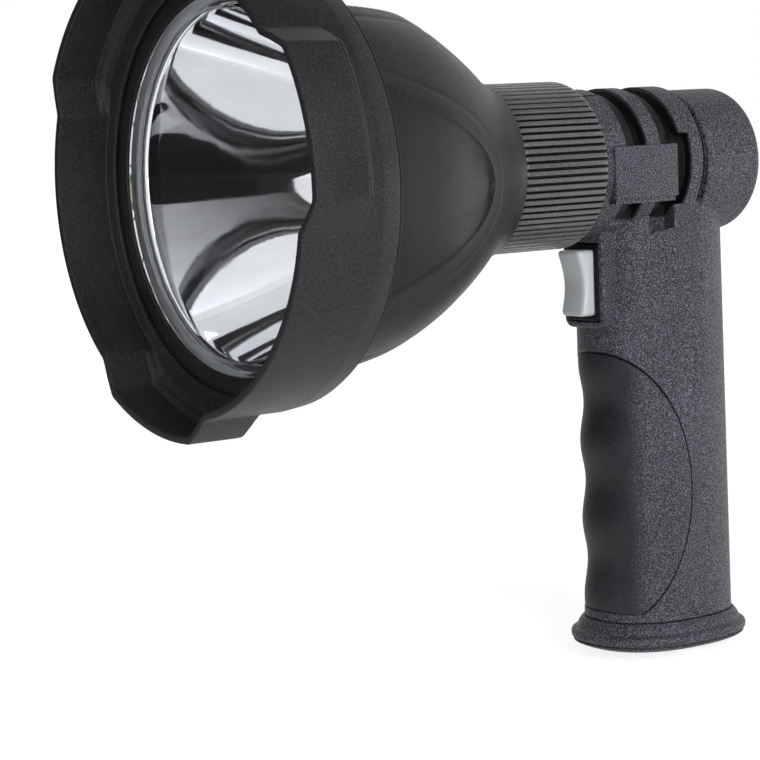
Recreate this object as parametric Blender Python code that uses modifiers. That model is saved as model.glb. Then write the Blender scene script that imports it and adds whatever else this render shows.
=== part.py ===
"""A rechargeable pistol-grip spotlight, built as an assembly of separate parts.

The origin is the middle of the base's flat underside. The beam points along -Y, +Z is up and the
user's left side is +X. All lengths are in metres and all angles in degrees. Pieces that are turned
about the beam are drawn as (station, radius) points, where a station is measured towards the rear
from the front edge of the piece's own group: the bezel's rim, the barrel's front face or the piece.
"""

import math

import bmesh
import bpy
from mathutils import Matrix, Vector

# Clearances and cutting allowances
GAP = 0.0003
RING_PLAY = 0.00035
FACET_PLAY = 0.0002
OVERRUN = 0.002
WELD = 0.000001

# Mesh fineness
BEAM_STEPS = 36
SMALL_STEPS = 16
TINY_STEPS = 10
SECTION_POINTS = 28
BARREL_STEPS = 48
SLOT_STEPS = 44
TUBE_STEPS = 28
SMOOTH_ANGLE = 35

# Overall sizes along the beam
HEAD_LENGTH = 0.098
RING_LENGTH = 0.0307
BARREL_LENGTH = 0.0612
BARREL_FRONT_SHARE = 0.55392

# Bezel
BEZEL_LENGTH = 0.0294
RIM_RADIUS = 0.06005
BEZEL_WALL = 0.0022
BEZEL_TAPER_LENGTH = 0.0055
BEZEL_TAPER = 0.0007
LOBE_COUNT = 3
LOBE_FIRST_ANGLE = 15.5
LOBE_TOP_SPAN = 34.5
LOBE_RAMP_SPAN = 8
LOBE_RISE = 0.00575
LOBE_LENGTH = 0.0153
LOBE_BEVEL_LENGTH = 0.0016
LOBE_STEP_LENGTH = 0.0008
LOBE_BEVEL_SHARE = 0.86
LOBE_TOP_PARTS = 4
LOW_PARTS = 8
LIP_STATION = 0.0159
LIP_LENGTH = 0.0011
LIP_DEPTH = 0.0024
POCKET_SHARES = ((0.79, 1), (0.84, 0.7), (0.9, 0.62), (0.955, 0.25))

# Lens and what seals it
LENS_FLANGE_WIDTH = 0.00245
LENS_FLANGE_LENGTH = 0.002
LENS_BOSS_LENGTH = 0.0021
LENS_STEP_DEPTH = 0.0004
LENS_STEP_WIDTH = 0.0032
RETAINER_LENGTH = 0.0019
GASKET_LENGTH = 0.0012
GASKET_WIDTH = 0.0035

# Reflector
REFLECTOR_FLANGE_WIDTH = 0.00522
REFLECTOR_BACK_ROOM = 0.015
REFLECTOR_WALL = 0.0012
REFLECTOR_HOLE_RADIUS = 0.0075
REFLECTOR_STEPS = 28
REFLECTOR_PARTS = 6

# Bowl
BOWL_WALL = 0.0024
BOWL_FRONT_INSET = 0.00555
COLLAR_WALL = 0.0038
SHELF_WIDTH = 0.0034
SHOULDER_LENGTH = 0.0012
SHOULDER_INSET = 0.0008
NECK_RADIUS = 0.025
NECK_WALL = 0.0077
BOWL_SHARES = (
    (0, 1), (0.2, 0.903), (0.4, 0.775), (0.56, 0.618), (0.69, 0.449), (0.79, 0.298), (0.88, 0.146),
    (0.95, 0.045), (1, 0),
)
BOWL_HOLLOW_SHARE = 0.8
BOWL_ANGLE_PARTS = 36
SCOOP_COUNT = 4
SCOOP_LENGTH_SHARE = 0.6483
SCOOP_HALF_WIDTH = 0.029
SCOOP_DEPTH = 0.0062
SCOOP_EDGE_SHARE = 0.6

# Neck tube, its nut and its seals
TUBE_RADIUS = 0.0165
TUBE_WALL = 0.0029
TUBE_FRONT_OVERHANG = 0.0008
TUBE_FLANGE_RISE = 0.0021
TUBE_FLANGE_LENGTH = 0.002
NUT_LENGTH = 0.0033
NUT_RISE = 0.005
SEAL_RADIUS = 0.00075
SEAL_INSET = 0.0027
SEAL_GROOVE_DEPTH = 0.0016
SEAL_STEPS = 24
SEAL_SIDES = 5

# Focus ring with its helical cam
RIB_COUNT = 72
RING_RADIUS = 0.0238
RIB_DEPTH = 0.0011
RIB_TOP_SHARE = 0.48
RIB_CHAMFER = 0.0012
CAM_TURN = 120
CAM_TRAVEL = 0.006
CAM_DEPTH = 0.0028
CAM_PARTS = 12

# Sliding carrier with the light source
PIN_RADIUS = 0.00125
PIN_LENGTH = 0.01
PIN_TIP_GAP = 0.0003
PISTON_LENGTH = 0.014
POST_RADIUS = 0.0065
LEAD_BORE_RADIUS = 0.0019
LED_BOARD_RADIUS = 0.0063
LED_BOARD_LENGTH = 0.0012
LED_BASE_RADIUS = 0.0034
LED_BASE_LENGTH = 0.001
LED_DOME_RADIUS = 0.0026
LED_DOME_PARTS = 5
LEAD_RADIUS = 0.0006
LEAD_REACH = 0.0196

# Barrel outside
BARREL_COVER = 0.0048
TAIL_RADIUS = 0.0209
TAIL_DROP = 0.0009
TAIL_LENGTH = 0.0216
TAIL_FILLET = 0.003
TAIL_FILLET_PARTS = 3
TAIL_GROOVE_LENGTH = 0.001
TAIL_GROOVE_DEPTH = 0.0018
FRONT_BAND_LENGTH = 0.0083
RIB_BAND_LENGTH = 0.005
SLOT_LENGTH = 0.008
SLOT_STEP_SHARE = 0.52
SLOT_STEP_DEPTH = 0.0013
SLOT_DEPTH = 0.0035
SLOT_REACH = 0.0042
FLANK_REACH = 0.0147
PAD_STATION = 0.0029
PAD_LENGTH = 0.0235
PAD_LOW = 0.0097
PAD_HEIGHT = 0.0148
PAD_RISE = 0.0009
PAD_LEDGE_HEIGHT = 0.0014
PAD_LEDGE_DROP = 0.0009
PAD_LEDGE_INSET = 0.0005
POCKET_LENGTH = 0.0063
POCKET_DEPTH = 0.0031
POCKET_MARGIN = 0.0028

# Barrel inside
BORE_STEP = 0.0013
SEAT_WALL = 0.0022
TAIL_LIP_LENGTH = 0.0022
TAIL_LIP_WIDTH = 0.0024
TAIL_PLATE_LENGTH = 0.0017
TAIL_PLATE_RISE = 0.0007

# Battery cells and what carries them
CELL_DIAMETER = 0.0184
CELL_LENGTH = 0.0652
CELL_CROWN = 0.0006
CELL_POLE_RADIUS = 0.004
HOLDER_PLATE = 0.0016
HOLDER_RAIL_WIDTH = 0.007
HOLDER_RAIL_DEPTH = 0.0024
HOLDER_HALF_WIDTH = 0.0085
CONTACT_LENGTH = 0.0005
CONTACT_HALF_WIDTH = 0.0045
WIRE_RADIUS = 0.0008
WIRE_SPREAD = 0.004
WIRE_CLEARANCE = 0.0012
WIRE_BEND = 0.006
WIRE_DROP = 0.0125

# Grip
GRIP_POWER = 2.4
GRIP_WALL = 0.002
GRIP_HALF_WIDTH = 0.017
GRIP_FLARE = 0.0009
GRIP_TOP_DROP = 0.009
INSERT_THICKNESS = 0.0014
FINGER_PITCH_SHARE = 0.35736
FINGER_COUNT = 3
FINGER_DEPTH = 0.0016
FINGER_PARTS = 4
FINGER_FIRST_SHARE = 0.2592
INSERT_STEP = 0.0006
INSERT_RADIUS_SHARE = 0.74387
INSERT_BACK = 0.0007
INSERT_LOW_MARGIN = 0.0027
INSERT_STEPS = 48
CAVITY_HALF_WIDTH = 0.0136
UPPER_HALF_WIDTH = 0.0112
UPPER_FRONT = 0.0175
UPPER_REAR = 0.0195

# Base
BASE_HEIGHT = 0.008
BASE_SPIGOT = 0.0023
BASE_SPIGOT_WALL = 0.002
BASE_FLARE = 0.0039
BASE_SHARES = (
    (0, 0.38), (0.1, 0.78), (0.36, 1), (0.54, 0.88), (0.62, 0.6), (0.82, 0.42), (1, 0.14),
)
INSERT_NUT_BACK = 0.0125
INSERT_NUT_RADIUS = 0.007
INSERT_NUT_DROP = 0.003
INSERT_NUT_CHAMFER = 0.0008
INSERT_BODY_RADIUS = 0.0047
INSERT_BODY_LENGTH = 0.0066
TRIPOD_THREAD_RADIUS = 0.003175
TRIPOD_THREAD_DEPTH = 0.0085

# Fasteners
BOSS_RADIUS = 0.0034
SCREW_RADIUS = 0.0012
SCREW_HEAD_RADIUS = 0.0027
SCREW_HEAD_LENGTH = 0.0018
SCREW_SOCKET_RADIUS = 0.0013
SCREW_SOCKET_DEPTH = 0.001
SCREW_REACH = 0.0085
SCREW_SEAT = 0.0118
BARREL_SCREW_SEAT = 0.0172
BARREL_SCREW_REACH = 0.0125
BARREL_SCREW_STATION = 0.0148
BARREL_SCREW_DROP = 0.0064
BOSS_FRONT = 0.0128
LOW_BOSS_FRONT = 0.0095
BOSS_REAR = 0.014
BASE_SCREW_REACH = 0.0116
BASE_SCREW_LENGTH = 0.0115
BASE_BOSS_HALF = 0.0022

# Trigger, its frame, the spring and the switch
TRIGGER_DROP = 0.0341
TRIGGER_RISE = 0.0156
TRIGGER_HEIGHT = 0.019
TRIGGER_WIDTH = 0.01
TRIGGER_REACH = 0.0037
TRIGGER_DISH = 0.0024
TRIGGER_TRAVEL = 0.0025
TRIGGER_FLANGE = 0.0013
TRIGGER_FLANGE_LENGTH = 0.0018
TRIGGER_BOSS_RADIUS = 0.003
TRIGGER_BOSS_LENGTH = 0.0052
TRIGGER_BEVEL = 0.0009
DISH_PARTS = 8
FRAME_RIM = 0.0014
FRAME_FACE = 0.0269
FRAME_REAR = 0.0203
FRAME_FLANGE = 0.0016
FRAME_FLANGE_LENGTH = 0.0015
FRAME_BEVEL = 0.0009
COLLAR_FACE = 0.0254
COLLAR_RIM = 0.0018
COLLAR_BEVEL = 0.0012
SPRING_TURNS = 5
SPRING_WIRE_RADIUS = 0.0004
SPRING_RADIUS = 0.0041
SPRING_TURN_POINTS = 9
SWITCH_SIDE = 0.01
SWITCH_LENGTH = 0.011
SWITCH_EAR_LENGTH = 0.0024
SWITCH_EAR_HEIGHT = 0.012
BUTTON_RADIUS = 0.002
BUTTON_LENGTH = 0.0062
BUTTON_REACH = 0.0031

# Driver board and its parts
DRIVER_STATION = 0.0066
DRIVER_LENGTH = 0.0016
INDUCTOR_RADIUS = 0.0036
INDUCTOR_LENGTH = 0.0026
INDUCTOR_RISE = 0.0085
CAPACITOR_RADIUS = 0.0021
CAPACITOR_LENGTH = 0.0024
CAPACITOR_SIDE = 0.008

# Charging parts in the tail
SOCKET_RADIUS = 0.0046
SOCKET_LENGTH = 0.0118
SOCKET_BORE_RADIUS = 0.0031
SOCKET_BORE_DEPTH = 0.009
SOCKET_PIN_RADIUS = 0.001
SOCKET_PIN_LENGTH = 0.0076
SOCKET_DROP = 0.0028
CHARGE_BOARD_LENGTH = 0.0016
INDICATOR_RADIUS = 0.0013
INDICATOR_RISE = 0.0082
INDICATOR_LENGTH = 0.004
INDICATOR_PROUD = 0.0002
COVER_RADIUS = 0.0058
COVER_THICKNESS = 0.0014
COVER_TURN_RADIUS = 0.001
COVER_HALF_WIDTH = 0.0026
COVER_ARM = 0.0078
COVER_PIN_RADIUS = 0.0004
COVER_PIN_PLAY = 0.0002
EAR_LENGTH = 0.0012
EAR_HALF_HEIGHT = 0.001

# Places worked out from the sizes
BARREL_Y = -BARREL_LENGTH * BARREL_FRONT_SHARE
RING_Y = BARREL_Y - RING_PLAY - RING_LENGTH
RIM_Y = RING_Y - RING_PLAY - HEAD_LENGTH

GRIP_BOTTOM = BASE_HEIGHT + GAP
FRONT_STACK = GAP + GRIP_WALL + GAP + INSERT_THICKNESS + FINGER_DEPTH
REAR_STACK = GAP + GRIP_WALL
GRIP_HALF_DEPTH = (2 * CELL_DIAMETER + GAP + FRONT_STACK + REAR_STACK) / 2
CELL_BACK = (FRONT_STACK - REAR_STACK) / 2
CAVITY_HALF_DEPTH = CELL_DIAMETER + GAP / 2 + GAP

LOW_BOSS_HEIGHT = GRIP_BOTTOM + BASE_SPIGOT + GAP + BOSS_RADIUS
HOLDER_BOTTOM = LOW_BOSS_HEIGHT + BOSS_RADIUS + GAP
CELL_BOTTOM = HOLDER_BOTTOM + HOLDER_PLATE + GAP + CONTACT_LENGTH + GAP
CELL_TOP = CELL_BOTTOM + CELL_LENGTH
HOLDER_TOP = CELL_TOP + GAP + CONTACT_LENGTH + GAP + HOLDER_PLATE
HIGH_BOSS_HEIGHT = HOLDER_TOP + GAP + BOSS_RADIUS
CAVITY_TOP = HOLDER_TOP + GAP

FINGER_PITCH = CELL_LENGTH * FINGER_PITCH_SHARE
FINGER_FIRST_HEIGHT = GRIP_BOTTOM + CELL_LENGTH * FINGER_FIRST_SHARE
INSERT_RADIUS = CELL_LENGTH * INSERT_RADIUS_SHARE

TRIGGER_Z = HIGH_BOSS_HEIGHT + TRIGGER_RISE
BEAM_HEIGHT = TRIGGER_Z + TRIGGER_DROP
GRIP_TOP = BEAM_HEIGHT - GRIP_TOP_DROP
TRIGGER_FLANGE_Y = -FRAME_REAR + GAP
TRIGGER_BACK_Y = TRIGGER_FLANGE_Y + TRIGGER_FLANGE_LENGTH
BUTTON_Y = TRIGGER_BACK_Y + TRIGGER_BOSS_LENGTH + GAP
SWITCH_Y = BUTTON_Y + BUTTON_REACH

BARREL_RADIUS = TUBE_RADIUS + BARREL_COVER
BORE_RADIUS = TUBE_RADIUS - BORE_STEP
TUBE_BORE = TUBE_RADIUS - TUBE_WALL
RING_BORE = TUBE_RADIUS + RING_PLAY
PIN_STATION = RING_PLAY + (RING_LENGTH - CAM_TRAVEL) / 2
SLOT_ONE = FRONT_BAND_LENGTH
SLOT_TWO = SLOT_ONE + SLOT_LENGTH + RIB_BAND_LENGTH
TAIL_STATION = BARREL_LENGTH - TAIL_LENGTH

RETAINER_STATION = LIP_STATION + LIP_LENGTH + GAP
LENS_STATION = RETAINER_STATION + RETAINER_LENGTH + GAP
GASKET_STATION = LENS_STATION + LENS_FLANGE_LENGTH + GAP
REFLECTOR_STATION = GASKET_STATION + GASKET_LENGTH + GAP
SHELF_STATION = REFLECTOR_STATION + REFLECTOR_WALL + GAP
SHOULDER_STATION = BEZEL_LENGTH + GAP
BOWL_STATION = SHOULDER_STATION + SHOULDER_LENGTH
BEZEL_BORE = RIM_RADIUS - BEZEL_WALL - BEZEL_TAPER
COLLAR_RADIUS = BEZEL_BORE - GAP - FACET_PLAY
COLLAR_BORE = COLLAR_RADIUS - COLLAR_WALL
BOWL_FRONT_RADIUS = RIM_RADIUS - BOWL_FRONT_INSET
SCOOP_LENGTH = (HEAD_LENGTH - BOWL_STATION) * SCOOP_LENGTH_SHARE
LENS_FLANGE_RADIUS = COLLAR_BORE - GAP - FACET_PLAY
LENS_RADIUS = LENS_FLANGE_RADIUS - LENS_FLANGE_WIDTH
REFLECTOR_MOUTH_RADIUS = LENS_FLANGE_RADIUS - REFLECTOR_FLANGE_WIDTH
REFLECTOR_DEPTH = HEAD_LENGTH - REFLECTOR_BACK_ROOM - REFLECTOR_STATION
REFLECTOR_FOCUS = REFLECTOR_MOUTH_RADIUS ** 2 / (4 * REFLECTOR_DEPTH)
FOCUS_STATION = REFLECTOR_STATION + REFLECTOR_DEPTH - REFLECTOR_FOCUS
CARRIER_FRONT = FOCUS_STATION + LED_BASE_LENGTH + GAP + LED_BOARD_LENGTH + GAP
PISTON_STATION = HEAD_LENGTH + PIN_STATION - PISTON_LENGTH / 2
TUBE_FRONT = HEAD_LENGTH - NECK_WALL - NUT_LENGTH - TUBE_FRONT_OVERHANG
TUBE_END_STATION = SEAT_WALL + GAP + TUBE_FLANGE_LENGTH

PLATE_END = BARREL_LENGTH - TAIL_LIP_LENGTH - GAP
CHARGE_BOARD_STATION = PLATE_END - SOCKET_LENGTH - GAP - CHARGE_BOARD_LENGTH
WIRE_BACK = SWITCH_Y + SWITCH_LENGTH + WIRE_CLEARANCE + WIRE_RADIUS

for old in list(bpy.data.objects):
    bpy.data.objects.remove(old, do_unlink=True)

parts = bpy.data.collections.new("rechargeable_flashlight")
bpy.context.scene.collection.children.link(parts)
cutters = bpy.data.collections.new("cutters")
bpy.context.scene.collection.children.link(cutters)

COLOURS = {
    "bezel_plastic": ((0.028, 0.028, 0.031), 0.6, 0.0),
    "bowl_plastic": ((0.024, 0.024, 0.027), 0.45, 0.0),
    "ring_plastic": ((0.03, 0.028, 0.029), 0.5, 0.0),
    "housing_plastic": ((0.02, 0.021, 0.024), 0.6, 0.0),
    "grip_rubber": ((0.022, 0.022, 0.024), 0.7, 0.0),
    "trigger_plastic": ((0.55, 0.61, 0.66), 0.35, 0.0),
    "clear_lens": ((0.9, 0.93, 0.95), 0.05, 0.0),
    "chrome": ((0.9, 0.9, 0.92), 0.05, 1.0),
    "seal_rubber": ((0.02, 0.02, 0.02), 0.8, 0.0),
    "aluminium": ((0.7, 0.71, 0.73), 0.35, 1.0),
    "steel": ((0.6, 0.6, 0.62), 0.3, 1.0),
    "brass": ((0.7, 0.52, 0.25), 0.35, 1.0),
    "board": ((0.02, 0.16, 0.07), 0.5, 0.0),
    "led_phosphor": ((0.95, 0.8, 0.25), 0.3, 0.0),
    "inner_plastic": ((0.05, 0.05, 0.055), 0.6, 0.0),
    "cell_sleeve": ((0.05, 0.2, 0.42), 0.35, 0.0),
    "contact_metal": ((0.75, 0.74, 0.7), 0.3, 1.0),
    "red_wire": ((0.6, 0.03, 0.03), 0.5, 0.0),
    "black_wire": ((0.02, 0.02, 0.02), 0.5, 0.0),
}


def material(slot):
    """The Principled material of a slot, made once."""
    found = bpy.data.materials.get(slot)
    if found:
        return found
    colour, roughness, metallic = COLOURS[slot]
    made = bpy.data.materials.new(slot)
    made.use_nodes = True
    shader = made.node_tree.nodes["Principled BSDF"]
    shader.inputs["Base Color"].default_value = (*colour, 1)
    shader.inputs["Roughness"].default_value = roughness
    shader.inputs["Metallic"].default_value = metallic
    return made


def add_object(name, mesh, slot, place=(0, 0, 0), turn=(0, 0, 0)):
    """Links a mesh as a part, or as a hidden cutter when it has no material slot."""
    made = bpy.data.objects.new(name, mesh)
    made.location = place
    made.rotation_euler = [math.radians(angle) for angle in turn]
    if slot:
        mesh.materials.clear()
        mesh.materials.append(material(slot))
        parts.objects.link(made)
    else:
        made.hide_render = True
        made.display_type = "WIRE"
        cutters.objects.link(made)
    return made


def closed_mesh(name, grid, slot, place=(0, 0, 0), turn=(0, 0, 0)):
    """Turns a bmesh into an object with its faces pointing out and shaded by angle."""
    bmesh.ops.recalc_face_normals(grid, faces=grid.faces)
    mesh = bpy.data.meshes.new(name)
    grid.to_mesh(mesh)
    grid.free()
    mesh.shade_smooth()
    mesh.set_sharp_from_angle(angle=math.radians(SMOOTH_ANGLE))
    return add_object(name, mesh, slot, place, turn)


def box(name, low, high, slot=None, bevel=0.0):
    """A box between two corners, with its edges bevelled when asked."""
    low, high = Vector(low), Vector(high)
    grid = bmesh.new()
    bmesh.ops.create_cube(grid, size=1)
    bmesh.ops.scale(grid, vec=high - low, verts=grid.verts)
    made = closed_mesh(name, grid, slot, (low + high) / 2)
    if bevel:
        edge = made.modifiers.new("edges", "BEVEL")
        edge.width = bevel
        edge.segments = 2
        edge.limit_method = "ANGLE"
    return made


def rod(name, start, end, radius, slot=None, steps=SMALL_STEPS):
    """A straight cylinder between two points."""
    start, end = Vector(start), Vector(end)
    grid = bmesh.new()
    bmesh.ops.create_cone(
        grid, cap_ends=True, segments=steps, radius1=radius, radius2=radius, depth=(end - start).length
    )
    made = closed_mesh(name, grid, slot, (start + end) / 2)
    made.rotation_euler = (end - start).to_track_quat("Z", "Y").to_euler()
    return made


def turned(name, outer, inner, start_y, slot=None, steps=BEAM_STEPS, centre=(0, BEAM_HEIGHT)):
    """A turned piece about a line along Y, from (station, radius) points listed front to rear.

    With inner points the piece is a ring. Without them the outer points start and end on the axis.
    """
    points = list(reversed(outer)) + list(inner)
    grid = bmesh.new()
    line = [grid.verts.new((radius, 0, station)) for station, radius in points]
    for first, second in zip(line, line[1:]):
        grid.edges.new((first, second))
    if inner:
        grid.edges.new((line[-1], line[0]))
    mesh = bpy.data.meshes.new(name)
    grid.to_mesh(mesh)
    grid.free()
    made = add_object(name, mesh, slot, (centre[0], start_y, centre[1]), (-90, 180 / steps, 0))
    spin = made.modifiers.new("turn", "SCREW")
    spin.axis = "Z"
    spin.steps = steps
    spin.render_steps = steps
    spin.use_merge_vertices = True
    spin.merge_threshold = WELD
    spin.use_smooth_shade = True
    return made


def ring_grid(sections):
    """Joins closed sections, in order round a ring, into one closed skin."""
    grid = bmesh.new()
    rows = [[grid.verts.new(point) for point in section] for section in sections]
    for row, following in zip(rows, rows[1:] + rows[:1]):
        for index in range(len(row)):
            after = (index + 1) % len(row)
            grid.faces.new((row[index], row[after], following[after], following[index]))
    return grid


def stack_grid(sections):
    """Joins closed sections, one above the other, and closes both ends."""
    grid = bmesh.new()
    rows = [[grid.verts.new(point) for point in section] for section in sections]
    for row, following in zip(rows, rows[1:]):
        for index in range(len(row)):
            after = (index + 1) % len(row)
            grid.faces.new((row[index], row[after], following[after], following[index]))
    grid.faces.new(rows[0])
    grid.faces.new(rows[-1])
    return grid


def around(profile, angle):
    """Places (station, radius) points in the half plane at an angle from +X towards +Z."""
    cosine, sine = math.cos(math.radians(angle)), math.sin(math.radians(angle))
    return [(radius * cosine, station, radius * sine) for station, radius in profile]


def combine(target, other, operation):
    """Adds an exact Boolean with another object to the target."""
    step = target.modifiers.new(operation.lower(), "BOOLEAN")
    step.operation = operation
    step.solver = "EXACT"
    step.object = other
    return target


def cut(target, *tools):
    """Cuts each tool out of the target."""
    for tool in tools:
        combine(target, tool, "DIFFERENCE")
    return target


def join(target, *tools):
    """Adds each tool to the target as one body."""
    for tool in tools:
        combine(target, tool, "UNION")
    return target


def tube(name, points, radius, slot, smooth=2):
    """A wire along the points, closed at both ends."""
    curve = bpy.data.curves.new(name, "CURVE")
    curve.dimensions = "3D"
    curve.bevel_depth = radius
    curve.bevel_resolution = smooth
    curve.use_fill_caps = True
    line = curve.splines.new("POLY")
    line.points.add(len(points) - 1)
    for point, place in zip(line.points, points):
        point.co = (*place, 1)
    made = bpy.data.objects.new(name, curve)
    curve.materials.append(material(slot))
    parts.objects.link(made)
    return made


def blend(value):
    """A smooth step from 0 to 1."""
    value = min(max(value, 0), 1)
    return value * value * (3 - 2 * value)


def lobe_share(angle):
    """How far the bezel's rim is raised at an angle: 1 on a lobe, 0 between lobes."""
    spacing = 360 / LOBE_COUNT
    away = abs((angle - LOBE_FIRST_ANGLE + spacing / 2) % spacing - spacing / 2)
    return min(max((LOBE_TOP_SPAN / 2 + LOBE_RAMP_SPAN - away) / LOBE_RAMP_SPAN, 0), 1)


def bezel_angles():
    """Angles of the bezel's sections: each lobe's ends fall exactly on one."""
    spacing = 360 / LOBE_COUNT
    low_span = spacing - LOBE_TOP_SPAN - 2 * LOBE_RAMP_SPAN
    angles = []
    for lobe in range(LOBE_COUNT):
        start = LOBE_FIRST_ANGLE + lobe * spacing - LOBE_TOP_SPAN / 2
        angles += [start + LOBE_TOP_SPAN * step / LOBE_TOP_PARTS for step in range(LOBE_TOP_PARTS + 1)]
        low = start + LOBE_TOP_SPAN + LOBE_RAMP_SPAN
        angles += [low + low_span * step / LOW_PARTS for step in range(LOW_PARTS + 1)]
    return angles


def bezel_profile(angle):
    """The bezel's cut section at an angle, outer skin front to rear and then back inside."""
    share = lobe_share(angle)
    rise = LOBE_RISE * share
    bevel_end = LOBE_LENGTH + LOBE_BEVEL_LENGTH
    outer = [
        (0, RIM_RADIUS + rise),
        (LOBE_LENGTH, RIM_RADIUS + rise),
        (bevel_end, RIM_RADIUS + rise * LOBE_BEVEL_SHARE),
        (bevel_end + LOBE_STEP_LENGTH, RIM_RADIUS),
        (BEZEL_LENGTH - BEZEL_TAPER_LENGTH, RIM_RADIUS),
        (BEZEL_LENGTH, RIM_RADIUS - BEZEL_TAPER),
    ]
    wall = RIM_RADIUS - BEZEL_WALL
    pocket = [(LIP_STATION * along, wall + rise * depth) for along, depth in POCKET_SHARES]
    inner = [(0, wall + rise)] + pocket + [
        (LIP_STATION, BEZEL_BORE - LIP_DEPTH),
        (LIP_STATION + LIP_LENGTH, BEZEL_BORE - LIP_DEPTH),
        (LIP_STATION + LIP_LENGTH, BEZEL_BORE),
        (BEZEL_LENGTH, BEZEL_BORE),
    ]
    return outer + list(reversed(inner))


def make_bezel():
    """The crenellated screw-on bezel: three raised lobes with stepped pockets inside."""
    sections = [around(bezel_profile(angle), angle) for angle in bezel_angles()]
    closed_mesh("bezel_shroud", ring_grid(sections), "bezel_plastic", (0, RIM_Y, BEAM_HEIGHT))


def make_lens_stack():
    """The clear lens with its stepped rim, the ring that holds it and the gasket behind it."""
    boss = LENS_STATION - LENS_BOSS_LENGTH
    rear = LENS_STATION + LENS_FLANGE_LENGTH
    turned(
        "lens",
        [(boss + LENS_STEP_DEPTH, 0), (boss + LENS_STEP_DEPTH, LENS_RADIUS - LENS_STEP_WIDTH),
         (boss, LENS_RADIUS - LENS_STEP_WIDTH), (boss, LENS_RADIUS), (LENS_STATION, LENS_RADIUS),
         (LENS_STATION, LENS_FLANGE_RADIUS), (rear, LENS_FLANGE_RADIUS), (rear, 0)],
        [], RIM_Y, "clear_lens",
    )
    bore = LENS_RADIUS + GAP
    turned(
        "lens_retainer",
        [(RETAINER_STATION, COLLAR_RADIUS), (RETAINER_STATION + RETAINER_LENGTH, COLLAR_RADIUS)],
        [(RETAINER_STATION, bore), (RETAINER_STATION + RETAINER_LENGTH, bore)],
        RIM_Y, "bezel_plastic",
    )
    turned(
        "lens_gasket",
        [(GASKET_STATION, LENS_FLANGE_RADIUS), (GASKET_STATION + GASKET_LENGTH, LENS_FLANGE_RADIUS)],
        [(GASKET_STATION, LENS_FLANGE_RADIUS - GASKET_WIDTH),
         (GASKET_STATION + GASKET_LENGTH, LENS_FLANGE_RADIUS - GASKET_WIDTH)],
        RIM_Y, "seal_rubber",
    )


def reflector_radius(station):
    """The paraboloid's radius at a station measured from the reflector's mouth."""
    return 2 * math.sqrt(REFLECTOR_FOCUS * (REFLECTOR_DEPTH - station))


def make_reflector():
    """The deep paraboloid mirror with a flat mounting flange at its mouth."""
    end = REFLECTOR_DEPTH - REFLECTOR_HOLE_RADIUS ** 2 / (4 * REFLECTOR_FOCUS)
    mouth = math.sqrt(REFLECTOR_DEPTH)
    tip = math.sqrt(REFLECTOR_DEPTH - end)
    inner = []
    for part in range(REFLECTOR_PARTS + 1):
        root = mouth + (tip - mouth) * part / REFLECTOR_PARTS
        station = REFLECTOR_DEPTH - root * root
        inner.append((station, reflector_radius(station)))
    outer = [(0, LENS_FLANGE_RADIUS), (REFLECTOR_WALL, LENS_FLANGE_RADIUS)]
    outer += [(station + REFLECTOR_WALL, radius + REFLECTOR_WALL / 2) for station, radius in inner]
    turned("reflector", outer, inner, RIM_Y + REFLECTOR_STATION, "chrome", REFLECTOR_STEPS)


def scoop_depth(station, radius, angle):
    """Depth of the concave scoops on the bowl's flanks at a station behind the shoulder."""
    left = 1 - station / SCOOP_LENGTH
    if left <= 0:
        return 0
    spacing = 360 / SCOOP_COUNT
    away = abs((angle + spacing / 2) % spacing - spacing / 2)
    across = math.radians(away) * radius / (SCOOP_HALF_WIDTH * math.sqrt(left))
    return SCOOP_DEPTH * math.sqrt(left) * blend((1 - across) / SCOOP_EDGE_SHARE)


def bowl_profile(angle):
    """The bowl's cut section at an angle, outer skin front to rear and then back inside."""
    length = HEAD_LENGTH - BOWL_STATION
    shoulder = RIM_RADIUS - BEZEL_TAPER - SHOULDER_INSET
    outer = [
        (LENS_STATION, COLLAR_RADIUS),
        (SHOULDER_STATION, COLLAR_RADIUS),
        (SHOULDER_STATION, shoulder),
        (BOWL_STATION, shoulder),
    ]
    hollow = []
    for along, share in BOWL_SHARES:
        plain = NECK_RADIUS + (BOWL_FRONT_RADIUS - NECK_RADIUS) * share
        radius = plain - scoop_depth(length * along, plain, angle)
        outer.append((BOWL_STATION + length * along, radius))
        if along <= BOWL_HOLLOW_SHARE:
            hollow.append((BOWL_STATION + length * along, radius - BOWL_WALL))
    wall_station = HEAD_LENGTH - NECK_WALL
    nut_room = TUBE_RADIUS + NUT_RISE + GAP
    inner = [
        (LENS_STATION, COLLAR_BORE),
        (SHELF_STATION, COLLAR_BORE),
        (SHELF_STATION, COLLAR_BORE - SHELF_WIDTH),
    ] + hollow + [
        (wall_station, nut_room),
        (wall_station, TUBE_RADIUS + GAP),
        (HEAD_LENGTH, TUBE_RADIUS + GAP),
    ]
    return outer + list(reversed(inner))


def make_bowl():
    """The domed head shell with its scooped flanks, from the collar to the neck."""
    angles = [360 * part / BOWL_ANGLE_PARTS for part in range(BOWL_ANGLE_PARTS)]
    sections = [around(bowl_profile(angle), angle) for angle in angles]
    closed_mesh("head_bowl", ring_grid(sections), "bowl_plastic", (0, RIM_Y, BEAM_HEIGHT))


def seal_stations():
    """Stations of the two seals, measured from the bezel's rim."""
    front = HEAD_LENGTH + RING_PLAY + SEAL_INSET
    return front, HEAD_LENGTH + RING_PLAY + RING_LENGTH - SEAL_INSET


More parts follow.
